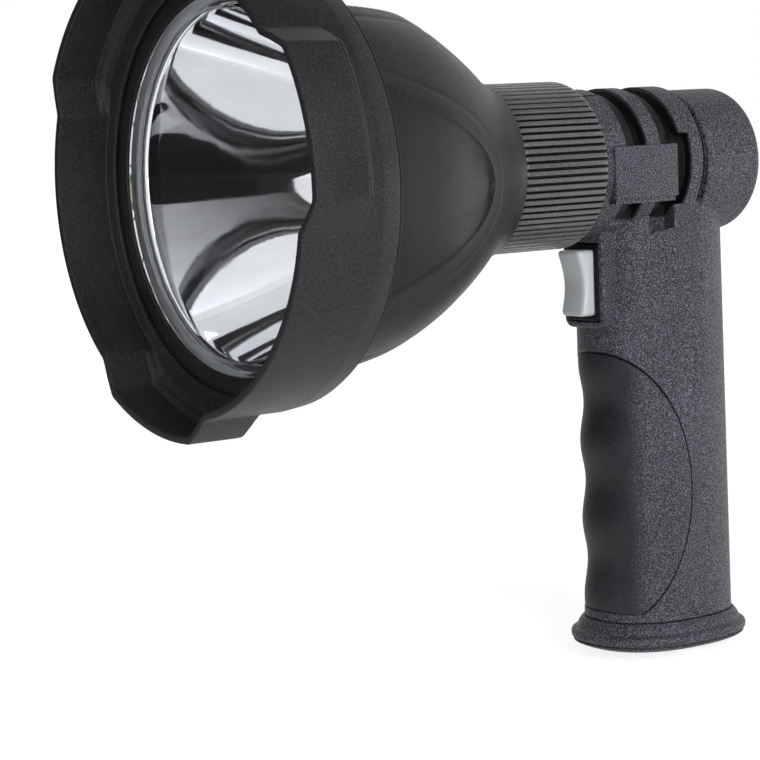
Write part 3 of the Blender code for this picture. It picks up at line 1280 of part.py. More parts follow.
def make_tail():
    """The tail plate with the charging socket, its board, the indicator and the hinged cover."""
    plate_end = PLATE_END
    plate_start = plate_end - TAIL_PLATE_LENGTH
    radius = BORE_RADIUS + TAIL_PLATE_RISE
    plate = turned("tail_plate", [(plate_start, 0), (plate_start, radius), (plate_end, radius), (plate_end, 0)],
                   [], BARREL_Y, "inner_plastic", 28)
    socket_z = BEAM_HEIGHT - SOCKET_DROP
    rear = BARREL_Y + plate_end
    front = BARREL_Y + plate_start
    light_z = BEAM_HEIGHT + INDICATOR_RISE
    hinge_y = rear + GAP + COVER_TURN_RADIUS
    flap_y = rear + GAP
    hinge_z = socket_z - COVER_ARM
    ears = []
    for name, side in (("left", 1), ("right", -1)):
        inner_x = side * (COVER_HALF_WIDTH + GAP)
        outer_x = side * (COVER_HALF_WIDTH + GAP + EAR_LENGTH)
        ears.append(box(f"ear_{name}", (min(inner_x, outer_x), rear - TAIL_PLATE_LENGTH / 2,
                                        hinge_z - EAR_HALF_HEIGHT),
                        (max(inner_x, outer_x), hinge_y + EAR_HALF_HEIGHT, hinge_z + EAR_HALF_HEIGHT)))
    pin_half = COVER_HALF_WIDTH + GAP + EAR_LENGTH
    pin_hole = rod("ear_hole", (-pin_half - OVERRUN, hinge_y, hinge_z), (pin_half + OVERRUN, hinge_y, hinge_z),
                   COVER_PIN_RADIUS + COVER_PIN_PLAY, None, TINY_STEPS)
    join(plate, *ears)
    cut(
        plate, pin_hole,
        rod("socket_hole", (0, front - OVERRUN, socket_z), (0, rear + OVERRUN, socket_z), SOCKET_RADIUS + GAP),
        rod("indicator_hole", (0, front - OVERRUN, light_z), (0, rear + OVERRUN, light_z),
            INDICATOR_RADIUS + GAP, None, TINY_STEPS),
    )
    rod("indicator_light", (0, rear + INDICATOR_PROUD - INDICATOR_LENGTH, light_z),
        (0, rear + INDICATOR_PROUD, light_z), INDICATOR_RADIUS, "clear_lens", TINY_STEPS)

    mouth = plate_end
    floor = mouth - SOCKET_BORE_DEPTH
    tip = floor + SOCKET_PIN_LENGTH
    start = mouth - SOCKET_LENGTH
    turned(
        "charge_socket",
        [(start, 0), (start, SOCKET_RADIUS), (mouth, SOCKET_RADIUS), (mouth, SOCKET_BORE_RADIUS),
         (floor, SOCKET_BORE_RADIUS), (floor, SOCKET_PIN_RADIUS), (tip, SOCKET_PIN_RADIUS), (tip, 0)],
        [], BARREL_Y, "contact_metal", 20, (0, socket_z),
    )
    board_start = CHARGE_BOARD_STATION
    board_end = board_start + CHARGE_BOARD_LENGTH
    board_radius = BORE_RADIUS - GAP
    turned("charge_board", [(board_start, 0), (board_start, board_radius), (board_end, board_radius),
                            (board_end, 0)], [], BARREL_Y, "board", 24)

    hinge = bpy.data.objects.new("charge_cover_hinge", None)
    hinge.location = (0, hinge_y, hinge_z)
    parts.objects.link(hinge)
    inside = flap_y - hinge_y
    flap = rod("charge_cover", (0, inside, COVER_ARM), (0, inside + COVER_THICKNESS, COVER_ARM), COVER_RADIUS,
               "seal_rubber", 20)
    join(
        flap,
        box("cover_arm", (-COVER_HALF_WIDTH, flap_y, hinge_z), (COVER_HALF_WIDTH, flap_y + COVER_THICKNESS,
                                                               socket_z)),
        rod("cover_knuckle", (-COVER_HALF_WIDTH, hinge_y, hinge_z), (COVER_HALF_WIDTH, hinge_y, hinge_z),
            COVER_TURN_RADIUS, None, TINY_STEPS),
    )
    cut(flap, rod("knuckle_hole", (-COVER_HALF_WIDTH - OVERRUN, hinge_y, hinge_z),
                  (COVER_HALF_WIDTH + OVERRUN, hinge_y, hinge_z), COVER_PIN_RADIUS + COVER_PIN_PLAY, None,
                  TINY_STEPS))
    flap.parent = hinge
    rod("charge_cover_pin", (-pin_half, hinge_y, hinge_z), (pin_half, hinge_y, hinge_z), COVER_PIN_RADIUS,
        "steel", TINY_STEPS)


make_bezel()
make_lens_stack()
make_reflector()
make_bowl()
make_neck()
make_focus_ring()
make_carrier()
make_led_leads()
make_housing()
make_finger_grip()
make_trigger()
make_driver()
make_tail()
make_battery()
make_base()
make_screws()
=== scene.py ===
"""The finished look of a pistol-grip spotlight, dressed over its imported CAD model.

The beam points along -Y, +Z is up and all lengths are in metres, as in the model. Pieces turned about
the beam are drawn as closed outlines of (station, radius) points, where a station runs to the rear.
"""

import math
from functools import cached_property

import bmesh
import bpy
from mathutils import Matrix, Vector


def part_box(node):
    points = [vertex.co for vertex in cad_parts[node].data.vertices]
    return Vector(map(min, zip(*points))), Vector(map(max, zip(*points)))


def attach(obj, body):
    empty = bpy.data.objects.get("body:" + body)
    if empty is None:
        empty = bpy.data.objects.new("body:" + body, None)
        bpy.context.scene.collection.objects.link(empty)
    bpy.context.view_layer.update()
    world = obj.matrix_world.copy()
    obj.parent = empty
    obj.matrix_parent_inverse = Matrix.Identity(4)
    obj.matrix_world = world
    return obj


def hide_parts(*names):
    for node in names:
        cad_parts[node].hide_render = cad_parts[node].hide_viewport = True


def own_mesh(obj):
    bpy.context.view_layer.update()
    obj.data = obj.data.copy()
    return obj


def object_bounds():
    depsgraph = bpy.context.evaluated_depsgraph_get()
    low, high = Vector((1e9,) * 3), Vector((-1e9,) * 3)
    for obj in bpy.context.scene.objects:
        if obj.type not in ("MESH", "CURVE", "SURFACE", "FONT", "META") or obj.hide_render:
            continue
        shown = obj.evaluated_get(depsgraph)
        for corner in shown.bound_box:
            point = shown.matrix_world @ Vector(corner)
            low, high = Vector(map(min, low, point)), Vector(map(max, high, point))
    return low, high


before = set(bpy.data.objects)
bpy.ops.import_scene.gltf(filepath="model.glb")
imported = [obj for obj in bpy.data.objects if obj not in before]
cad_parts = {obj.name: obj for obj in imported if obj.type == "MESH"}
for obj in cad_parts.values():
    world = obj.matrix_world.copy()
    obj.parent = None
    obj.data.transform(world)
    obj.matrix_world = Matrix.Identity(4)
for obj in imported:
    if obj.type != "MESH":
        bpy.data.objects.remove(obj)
cad_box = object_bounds()

# Clearances that the model keeps, and mesh fineness
GAP = 0.0003
FACET_PLAY = 0.0002
OVERRUN = 0.002
WELD = 0.0000005
LATHE_STEPS = 192
LENS_STEPS = 256
DISC_STEPS = 96
FINE_STEPS = 64
SMALL_STEPS = 40
OUTLINE_POINTS = 120
CORNER_PARTS = 3
QUARTER_PARTS = 6
FACE_PARTS = 5
EDGE_SHARE = 0.45
SHARP_ANGLE = 38
SOFT_EDGE = 0.0003
FINE_EDGE = 0.00015

# Places read from the model
BEZEL_LOW, BEZEL_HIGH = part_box("bezel_shroud")
RING_LOW, RING_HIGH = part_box("focus_ring")
SHELL_LOW, SHELL_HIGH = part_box("housing_left")
BOWL_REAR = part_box("head_bowl")[1].y
BASE_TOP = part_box("base_plate")[1].z
RIM_Y = BEZEL_LOW.y
BEAM_Z = (RING_LOW.z + RING_HIGH.z) / 2
BARREL_Y = SHELL_LOW.y
BARREL_LENGTH = SHELL_HIGH.y - SHELL_LOW.y
GRIP_BOTTOM = SHELL_LOW.z

# Bezel
BEZEL_LENGTH = BEZEL_HIGH.y - BEZEL_LOW.y
RIM_RADIUS = 0.06005
BEZEL_WALL = 0.0022
TAPER_LENGTH = 0.0055
TAPER = 0.0007
LOBE_COUNT = 3
LOBE_FIRST_ANGLE = 15.5
LOBE_TOP_SPAN = 34.5
LOBE_RAMP_SPAN = 8
LOBE_RISE = 0.00575
LOBE_LENGTH = 0.0162
LOBE_BEVEL_LENGTH = 0.0007
LOBE_STEP_LENGTH = 0.0008
LOBE_BEVEL_SHARE = 0.95
LOBE_LINE_LENGTH = 0.0007
LOBE_LINE_DEPTH = 0.0003
RAMP_SOFT_SHARE = 0.09
RAMP_PARTS = 5
TOP_PARTS = 16
LOW_PARTS = 32
LIP_STATION = 0.0159
LIP_LENGTH = 0.0011
LIP_DEPTH = 0.0024
POCKET_SHARES = ((0.79, 1), (0.84, 0.7), (0.9, 0.62), (0.955, 0.25))
BEZEL_BORE = RIM_RADIUS - BEZEL_WALL - TAPER

# Lens and its retainer
COLLAR_RADIUS = BEZEL_BORE - GAP - FACET_PLAY
COLLAR_WALL = 0.0038
COLLAR_BORE = COLLAR_RADIUS - COLLAR_WALL
RETAINER_LENGTH = 0.0019
RETAINER_STATION = LIP_STATION + LIP_LENGTH + GAP
LENS_STATION = RETAINER_STATION + RETAINER_LENGTH + GAP
LENS_FLANGE_RADIUS = COLLAR_BORE - GAP - FACET_PLAY
LENS_FLANGE_WIDTH = 0.00245
LENS_RADIUS = LENS_FLANGE_RADIUS - LENS_FLANGE_WIDTH
LENS_FLANGE_LENGTH = 0.002
LENS_BOSS_LENGTH = 0.0021
LENS_STEP_DEPTH = 0.0004
LENS_STEP_WIDTH = 0.0032
LENS_RIDGE_WIDTH = 0.0008

# Reflector and light source
REFLECTOR_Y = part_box("reflector")[0].y
REFLECTOR_DEPTH = 0.0597
REFLECTOR_FLANGE_WIDTH = 0.00522
REFLECTOR_MOUTH = LENS_FLANGE_RADIUS - REFLECTOR_FLANGE_WIDTH
REFLECTOR_HOLE = 0.0075
REFLECTOR_WALL = 0.0012
REFLECTOR_LIP = 0.001
REFLECTOR_PARTS = 72
LIGHT_BOARD_RADIUS = 0.0063
EMITTER_BASE_RADIUS = 0.0034
EMITTER_BASE_LENGTH = 0.001
EMITTER_DOME_RADIUS = 0.0026
EMITTER_PARTS = 14
EMITTER_STEPS = 48

# Bowl
BOWL_WALL = 0.0024
BOWL_FRONT_RADIUS = 0.0545
SHELF_WIDTH = 0.0034
SHOULDER_LENGTH = 0.0012
SHOULDER_INSET = 0.0008
NECK_RADIUS = 0.025
NECK_WALL = 0.0077
NECK_BORE = 0.0168
NUT_ROOM = 0.0218
BOWL_SHARES = (
    (0, 1), (0.2, 0.903), (0.4, 0.775), (0.56, 0.618), (0.69, 0.449), (0.79, 0.298), (0.88, 0.146),
    (0.95, 0.045), (1, 0),
)
BOWL_PARTS = 150
BOWL_STEPS = 480
HOLLOW_SHARE = 0.8
HOLLOW_ROW_PARTS = 8
SCOOP_COUNT = 4
SCOOP_LENGTH = 0.0435
SCOOP_TURN = -3
SCOOP_HALF_WIDTH = 0.0282
SCOOP_DEPTH = 0.0062
SCOOP_LIP_DEPTH = 0.0007
SCOOP_LIP_LENGTH = 0.0009
SCOOP_BAND_WIDTH = 0.0052
SCOOP_SEAM_WIDTH = 0.0011
SCOOP_SEAM_DEPTH = 0.00022

# Focus ring
RIB_COUNT = 72
RING_RADIUS = 0.0238
RING_BORE = 0.01685
RIB_DEPTH = 0.0011
RIB_TOP_SHARE = 0.25
RIB_FOOT_SHARE = 0.42
RIB_PARTS = 14
RIB_CHAMFER = 0.0012
CHAMFER_SHARES = ((0, 1), (0.25, 0.7), (0.5, 0.42), (1, 0.08), (1.4, 0))
RING_ROWS = 5
CAM_TURN = 120
CAM_RUN_OUT = 5.5
CAM_TRAVEL = 0.006
CAM_OUTSIDE = 0.01965
CAM_HALF_WIDTH = 0.00185
CAM_STATION = 0.012
CAM_PARTS = 24

# Barrel and grip
BARREL_RADIUS = 0.0213
TAIL_RADIUS = 0.0209
TAIL_DROP = 0.0009
TAIL_LENGTH = 0.0216
TAIL_FILLET = 0.003
TAIL_PARTS = 10
TAIL_GROOVE_LENGTH = 0.0024
TAIL_GROOVE_DEPTH = 0.0018
FRONT_BAND_LENGTH = 0.0083
RIB_BAND_LENGTH = 0.005
SLOT_LENGTH = 0.008
SLOT_STEP_SHARE = 0.52
SLOT_STEP_DEPTH = 0.0013
SLOT_DEPTH = 0.0035
SLOT_REACH = 0.0042
SLOT_STEPS = 176
SLOT_HALF_KEEP = 0.0125
PAD_STATION = 0.0029
PAD_LENGTH = 0.0235
PAD_LOW = 0.0097
PAD_HEIGHT = 0.0148
PAD_RISE = 0.0009
PAD_LEDGE_HEIGHT = 0.0014
PAD_LEDGE_DROP = 0.0009
PAD_LEDGE_INSET = 0.0005
POCKET_LENGTH = 0.0063
POCKET_DEPTH = 0.0031
POCKET_MARGIN = 0.0028
BORE_RADIUS = 0.0152
BORE_STEPS = 184
SEAT_WALL = 0.0022
SEAT_RADIUS = 0.0189
SEAT_END = 0.0048
PLATE_ROOM_RADIUS = 0.0162
PLATE_ROOM_LENGTH = 0.0023
TAIL_OPENING = 0.0135
TAIL_WALL = 0.0022
GRIP_POWER = 2.4
GRIP_HALF_DEPTH = 0.0225
GRIP_HALF_WIDTH = 0.017
GRIP_FLARE = 0.0009
GRIP_TOP_DROP = 0.009
GRIP_TOP = BEAM_Z - GRIP_TOP_DROP
CELL_BACK = 0.00165
CAVITY_HALF_DEPTH = 0.01885
CAVITY_HALF_WIDTH = 0.0136
CAVITY_TOP = 0.0889
UPPER_HALF_WIDTH = 0.0112
UPPER_FRONT = 0.0175
UPPER_REAR = 0.0195
BOSS_RADIUS = 0.0034
BASE_BOSS_SHARE = 0.81
BASE_BOSS_HALF_DEPTH = 0.0022

# Finger insert
INSERT_THICKNESS = 0.0014
INSERT_STEP = 0.0002
INSERT_RADIUS = 0.0485
INSERT_BACK = 0.0007
INSERT_DROP = (GRIP_HALF_DEPTH - INSERT_BACK) / 16
INSERT_LOW_MARGIN = 0.0027
INSERT_ROW = 0.0009
INSERT_GROOVE = 0.0003
INSERT_LOW_GAP = 0.00006
FINGER_PITCH = 0.0233
FINGER_COUNT = 3
FINGER_DEPTH = 0.0016
FINGER_WAVE = 0.0022
FINGER_FIRST = 0.0252

# Trigger group
TRIGGER_LOW, TRIGGER_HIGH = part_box("trigger")
TRIGGER_Z = (TRIGGER_LOW.z + TRIGGER_HIGH.z) / 2
TRIGGER_HALF_HEIGHT = 0.0095
TRIGGER_HALF_WIDTH = 0.005
TRIGGER_DISH = 0.0019
TRIGGER_LEAN = 0.001
TRIGGER_ROUND = 0.0014
TRIGGER_ROUND_PARTS = 6
TRIGGER_PARTS = 40
TRIGGER_FLANGE = 0.0013
TRIGGER_FLANGE_Y = -0.02
TRIGGER_FLANGE_END = -0.0182
TRIGGER_BOSS_RADIUS = 0.003
FRAME_RIM = 0.0014
FRAME_FACE = 0.0257
FRAME_REAR = 0.0203
FRAME_FLANGE = 0.0009
FRAME_FLANGE_LENGTH = 0.0015
FRAME_CORNER = 0.0016
SPRING_TURNS = 5
SPRING_WIRE_RADIUS = 0.0004
SPRING_TURN_PARTS = 24
SPRING_WIRE_PARTS = 10
COLLAR_FACE = 0.0254
COLLAR_RIM = 0.0018
COLLAR_CORNER = 0.003
COLLAR_ROUND = 0.0011

# Base
BASE_HEIGHT = 0.008
BASE_SPIGOT = 0.0023
BASE_FLARE = 0.0039
BASE_ROWS = 64
BASE_SHARES = (
    (0, 0.38), (0.08, 0.74), (0.15, 0.86), (0.19, 0.7), (0.23, 0.92), (0.4, 1), (0.54, 0.9), (0.62, 0.6),
    (0.82, 0.42), (1, 0.14),
)
BASE_HOLE_REACH = 0.01
NUT_BACK = 0.0125
NUT_RADIUS = 0.007
NUT_DROP = 0.003
NUT_CHAMFER = 0.0008
NUT_BODY_RADIUS = 0.0047
NUT_BODY_LENGTH = 0.0066
THREAD_RADIUS = 0.003175
THREAD_DEPTH = 0.0085
THREAD_PITCH = 0.00127
THREAD_START_SHARE = 0.4
THREAD_CUT = 0.0005

# Screws
SCREW_COUNT = 5
SCREW_RADIUS = 0.0012
SCREW_HEAD_RADIUS = 0.0027
SCREW_HEAD_LENGTH = 0.0018
SCREW_HEAD_REACH = 0.02
SCREW_SOCKET_RADIUS = 0.00135
SCREW_SOCKET_DEPTH = 0.001
HEX_SIDES = 6

# Tail
PLATE_RADIUS = 0.0159
PLATE_THICKNESS = 0.0017
SOCKET_DROP = 0.0028
SOCKET_RADIUS = 0.0046
SOCKET_BORE = 0.0031
SOCKET_BORE_DEPTH = 0.009
SOCKET_PIN_RADIUS = 0.001
SOCKET_PIN_LENGTH = 0.0076
COVER_RADIUS = 0.0058
COVER_THICKNESS = 0.0014
COVER_ARM = 0.0078
COVER_HALF_WIDTH = 0.0026
KNUCKLE_RADIUS = 0.001
HINGE_BORE = 0.0006
EAR_LENGTH = 0.0012
INDICATOR_RISE = 0.0082
INDICATOR_RADIUS = 0.0013

# Camera, as fitted to the photograph
CAMERA_AZIMUTH = 53.945
CAMERA_ELEVATION = 6.409
CAMERA_ROLL = -2.208
CAMERA_OFFSET = Vector((0.05382, -0.04868, 0.66604))
CAMERA_LENS = 123.158
CAMERA_SENSOR = 36
CAMERA_CLIP = 0.01

# Painted shade on groove floors, darkest where the grooves lie in shadow: (radius of the floor, radius where
# the painted shade ends, colour, last place along Y)
RING_GROOVE_PAINTED_SHADE = (RING_RADIUS - RIB_DEPTH * 0.6, RING_RADIUS - RIB_DEPTH * 0.12, (0.0008, 0.0008, 0.001), 1.0)
SLOT_PAINTED_SHADE_DEPTH = 0.0012
SLOT_PAINTED_SHADE_EDGE = 0.0004
SLOT_PAINTED_SHADE_END = 0.0055
SLOT_PAINTED_SHADE = (BARREL_RADIUS - SLOT_PAINTED_SHADE_DEPTH, BARREL_RADIUS - SLOT_PAINTED_SHADE_EDGE, (0.0025, 0.0025, 0.003),
                 SLOT_PAINTED_SHADE_END)

# Moulded grain: scales as shares of the grain's own, and what each part adds to the relief
GRIT_SCALE_SHARE = 0.85
FINE_SCALE_SHARE = 3.1
GRIT_RELIEF = 1.1
PEBBLE_RELIEF = -0.5
FINE_RELIEF = 0.25
# The span of grit that is painted pale: painted sparkle highlights on the grain
SPARKLE_HIGHLIGHT_RANGE = (0.52, 0.61)
FAINT_GRAIN = 0.00002
FINE_GRAIN = 0.00003
MEDIUM_GRAIN = 0.00005
COARSE_GRAIN = 0.0001

# Relief, and wear with painted edge highlights, of the other finishes. A fade is (Y where the grain and its
# painted sparkle end, Y where they are full, what is left)
# The grip's front is smoother, and as it faces away from the light it keeps little painted sparkle: a painted
# shade
GRIP_SHADED_FRONT_FADE = (-0.0188, -0.0148, 0.1)
BRUSH_RELIEF = 0.00001
PLATING_RELIEF = 0.00012
GLASS_RELIEF = 0.0001
TRACK_RELIEF = 0.00004
GLOW_DEPTH = 0.004
WORN_AND_HIGHLIT_EDGE = 0.00035
EDGE_COSINES = (0.995, 0.8)
EDGE_SAMPLES = 6
TARNISH_SHARE = 0.72
SMEAR_SHARE = 0.985

# Studio: each lamp or card has its place and size, and all face the centre
STUDIO_CENTRE = Vector((0.0, -0.07, 0.11))
WORLD_LEVEL = 0.35
FLOOR_HALF = 6.0
FLOOR_GLOW = 0.82
LAMPS = (
    ("key", (0.45, 1.1, -0.02), (0.4, 0.16), 2.0),
    ("soft", (1.08, -0.26, 0.26), (0.7, 0.7), 6.2),
)
FLAG_COLOUR = (0.03, 0.03, 0.035)
FLAGS = (
    ("flag_right", (1.16, 0.88, 0.0), (1.9, 0.8)),
    ("flag_top", (0.1, 0.15, 1.1), (1.6, 1.6)),
    ("flag_front", (-0.93, -0.6, 0.6), (0.95, 2.2)),
    ("flag_low", (-0.4, -0.3, -0.11), (0.6, 0.6)),
)

pieces = bpy.data.collections.new("pieces")
bpy.context.scene.collection.children.link(pieces)


def add_piece(name, mesh):
    """Welds a mesh, points its faces out, shades it smooth with sharp creases and links it."""
    grid = bmesh.new()
    grid.from_mesh(mesh)
    bmesh.ops.remove_doubles(grid, verts=grid.verts, dist=WELD)
    bmesh.ops.recalc_face_normals(grid, faces=grid.faces)
    grid.to_mesh(mesh)
    grid.free()
    made = bpy.data.objects.new(name, shade(mesh))
    pieces.objects.link(made)
    return made


def shade(mesh):
    mesh.shade_smooth()
    mesh.set_sharp_from_angle(angle=math.radians(SHARP_ANGLE))
    return mesh


def skin(name, rows, closed=False):
    """A skin over rows of points. A closed one joins its last row to its first, others get end caps."""
    count = len(rows[0])
    points = [point for row in rows for point in row]
    pairs = list(zip(range(len(rows)), range(1, len(rows))))
    if closed:
        pairs.append((len(rows) - 1, 0))
    faces = []
    for first, second in pairs:
        for index in range(count):
            after = (index + 1) % count
            faces.append((first * count + index, first * count + after, second * count + after,
                          second * count + index))
    if not closed:
        faces += [tuple(range(count)), tuple(range(len(points) - count, len(points)))]
    mesh = bpy.data.meshes.new(name)
    mesh.from_pydata(points, [], faces)
    return add_piece(name, mesh)


def soften(points, radius):
    """A closed outline of (station, radius) points with each corner off the axis made round."""
    points = [Vector(point) for point in points]
    soft = []
    for index, point in enumerate(points):
        if point[1] == 0:
            soft.append(point)
            continue
        before = points[index - 1] - point
        after = points[(index + 1) % len(points)] - point
        start = point + before.normalized() * min(radius, before.length * EDGE_SHARE)
        end = point + after.normalized() * min(radius, after.length * EDGE_SHARE)
        for part in range(CORNER_PARTS + 1):
            share = part / CORNER_PARTS
            soft.append(start.lerp(point, share).lerp(point.lerp(end, share), share))
    return soft


def around(outline, angle, start_y=0.0, centre_z=BEAM_Z):
    """Places (station, radius) points in the half plane at an angle from +X towards +Z."""
    cosine, sine = math.cos(math.radians(angle)), math.sin(math.radians(angle))
    return [(radius * cosine, start_y + station, centre_z + radius * sine) for station, radius in outline]


def lathe(name, outline, start_y, steps=LATHE_STEPS, edge=SOFT_EDGE, centre_z=BEAM_Z):
    """A piece turned about a line along Y, with softened edges."""
    soft = soften(outline, edge) if edge else outline
    rows = [around(soft, 360 * (step + 0.5) / steps, start_y, centre_z) for step in range(steps)]
    return skin(name, rows, True)


def arc(angle, parts):
    """(cosine, sine) at even steps from 0 to an angle."""
    return [(math.cos(angle * part / parts), math.sin(angle * part / parts)) for part in range(parts + 1)]


def disc_outline(radius, length):
    return [(0, 0), (0, radius), (length, radius), (length, 0)]


def aim(piece, place, direction):
    """Takes a piece turned about Y, with its stations from the origin, to a place and a direction."""
    turn = Vector((0, 1, 0)).rotation_difference(Vector(direction)).to_matrix().to_4x4()
    piece.data.transform(Matrix.Translation(place) @ turn)
    return piece


def rod(name, start, end, radius, steps=FINE_STEPS, edge=0.0):
    """A straight round bar between two points."""
    span = Vector(end) - Vector(start)
    return aim(lathe(name, disc_outline(radius, span.length), 0, steps, edge, 0), start, span)


def cross_rod(name, half, y, z, radius, steps=FINE_STEPS):
    """A round bar along X, across the middle plane."""
    return rod(name, (-half, y, z), (half, y, z), radius, steps)


def long_rod(name, start, end, z, radius, steps=FINE_STEPS, edge=0.0):
    """A round bar along Y, in the middle plane."""
    return rod(name, (0, start, z), (0, end, z), radius, steps, edge)


def block(name, low, high, edge=0.0):
    """A box between two corners, with rounded edges when asked."""
    low, high = Vector(low), Vector(high)
    grid = bmesh.new()
    bmesh.ops.create_cube(grid, size=1)
    bmesh.ops.scale(grid, vec=high - low, verts=grid.verts)
    bmesh.ops.translate(grid, vec=(low + high) / 2, verts=grid.verts)
    if edge:
        bmesh.ops.bevel(grid, geom=list(grid.edges), offset=edge, segments=CORNER_PARTS, profile=0.5,
                        affect="EDGES")
    mesh = bpy.data.meshes.new(name)
    grid.to_mesh(mesh)
    grid.free()
    return add_piece(name, mesh)


def bar(name, half, start, end, low, high, edge=0.0):
    """A box across the middle plane: half its width, its ends along Y and its heights."""
    return block(name, (-half, start, low), (half, end, high), edge)


def shape(target, operation, *tools):
    """Applies exact Booleans with the tools, which are then removed."""
    for tool in tools:
        step = target.modifiers.new("step", "BOOLEAN")
        step.operation = operation
        step.solver = "EXACT"
        step.object = tool
    bpy.context.view_layer.update()
    done = target.evaluated_get(bpy.context.evaluated_depsgraph_get())
    mesh = bpy.data.meshes.new_from_object(done)
    target.modifiers.clear()
    target.data = shade(mesh)
    for tool in tools:
        bpy.data.objects.remove(tool, do_unlink=True)
    return target


def cut(target, *tools):
    return shape(target, "DIFFERENCE", *tools)


def join(target, *tools):
    return shape(target, "UNION", *tools)


def stand_for(piece, body, slot, *nodes, finish=None):
    """The piece rides on a body, takes a slot's finish and stands for the model's nodes."""
    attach(piece, body)
    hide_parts(*nodes)
    piece.data.materials.clear()
    piece.data.materials.append(FINISHES[finish or slot])
    return piece


def ease(value):
    """A smooth step from 0 to 1."""
    value = min(max(value, 0), 1)
    return value * value * (3 - 2 * value)


def curve_at(points, place):
    """Height at a place on the smooth curve through (place, height) points."""
    last = len(points) - 1
    index = min(max(sum(1 for known, _ in points if known <= place) - 1, 0), last - 1)
    before, start = points[max(index - 1, 0)], points[index]
    end, after = points[index + 1], points[min(index + 2, last)]
    width = end[0] - start[0]
    leave = (end[1] - before[1]) / (end[0] - before[0]) * width
    arrive = (after[1] - start[1]) / (after[0] - start[0]) * width
    t = (place - start[0]) / width
    rise = ease(t)
    return start[1] * (1 - rise) + end[1] * rise + leave * t * (1 - t) ** 2 - arrive * t * t * (1 - t)


# Materials


class Nodes:
    """A node tree in the making, round its shader. Inputs take values or links, and _ stands for a space."""

    def __init__(self, owner, shader):
        owner.use_nodes = True
        self.owner = owner
        self.tree = owner.node_tree
        self.shader = self.tree.nodes[shader]

    def give(self, socket, value):
        if isinstance(value, bpy.types.NodeSocket):
            self.tree.links.new(value, socket)
        else:
            socket.default_value = (*value, 1) if socket.type == "RGBA" else value

    def drive(self, **inputs):
        """Gives the shader its inputs, and returns what the tree belongs to."""
        for key, value in inputs.items():
            self.give(self.shader.inputs[key.replace("_", " ")], value)
        return self.owner

    def node(self, kind, inputs=None, **settings):
        """Adds a node, sets its options and gives it its inputs."""
        made = self.tree.nodes.new(f"ShaderNode{kind}")
        for key, value in settings.items():
            setattr(made, key, value)
        for key, value in (inputs or {}).items():
            self.give(made.inputs[key], value)
        return made

    @cached_property
    def place(self):
        return self.node("TexCoord").outputs["Object"]

    def math(self, operation, first, second=0.0):
        return self.node("Math", {0: first, 1: second}, operation=operation).outputs[0]

    def times(self, first, second):
        return self.math("MULTIPLY", first, second)

    def total(self, first, *rest):
        for value in rest:
            first = self.math("ADD", first, value)
        return first

    def remap(self, value, low, high, to_low=0.0, to_high=1.0):
        """Maps a value from one range to another, held inside it."""
        ranges = {"Value": value, "From Min": low, "From Max": high, "To Min": to_low, "To Max": to_high}
        return self.node("MapRange", ranges).outputs["Result"]

    def mix(self, factor, first, second):
        """A colour between two others."""
        return self.node("Mix", {0: factor, 6: first, 7: second}, data_type="RGBA").outputs[2]

    def noise(self, scale, detail, roughness, stretch=None):
        """Noise over the object, drawn out along its axes when a stretch is given."""
        place = self.place
        if stretch:
            place = self.node("Mapping", {"Vector": place, "Scale": stretch}).outputs["Vector"]
        inputs = {"Vector": place, "Scale": scale, "Detail": detail, "Roughness": roughness}
        return self.node("TexNoise", inputs).outputs["Fac"]

    def edges(self, radius=FINE_EDGE):
        """(rounded normal, how much of an edge a point is) for sharp edges of the mesh."""
        rounded = self.node("Bevel", {"Radius": radius}, samples=EDGE_SAMPLES).outputs["Normal"]
        plain = self.node("NewGeometry").outputs["Normal"]
        same = self.node("VectorMath", {0: rounded, 1: plain}, operation="DOT_PRODUCT").outputs["Value"]
        return rounded, self.remap(same, *EDGE_COSINES)

    def bump(self, height, distance, strength, normal=None):
        inputs = {"Height": height, "Distance": distance, "Strength": strength}
        if normal is not None:
            inputs["Normal"] = normal
        return self.node("Bump", inputs).outputs["Normal"]


def start_material(name, **constants):
    """A Principled material whose constants are written on its own sockets."""
    make = Nodes(bpy.data.materials.new(name), "Principled BSDF")
    make.drive(**constants)
    return make


def outside_painted_shade(make, floor, edge, last_y):
    """Where painted shade lies: 0 on a groove's floor, by its radius about the beam, and 1 above its edge and
    past a place along Y.
    """
    split = make.node("SeparateXYZ", {0: make.place}).outputs
    up = make.math("SUBTRACT", split["Z"], BEAM_Z)
    radius = make.math("SQRT", make.total(make.times(split["X"], split["X"]), make.times(up, up)))
    past = make.math("GREATER_THAN", split["Y"], last_y)
    return make.math("MAXIMUM", make.remap(radius, floor, edge), past)


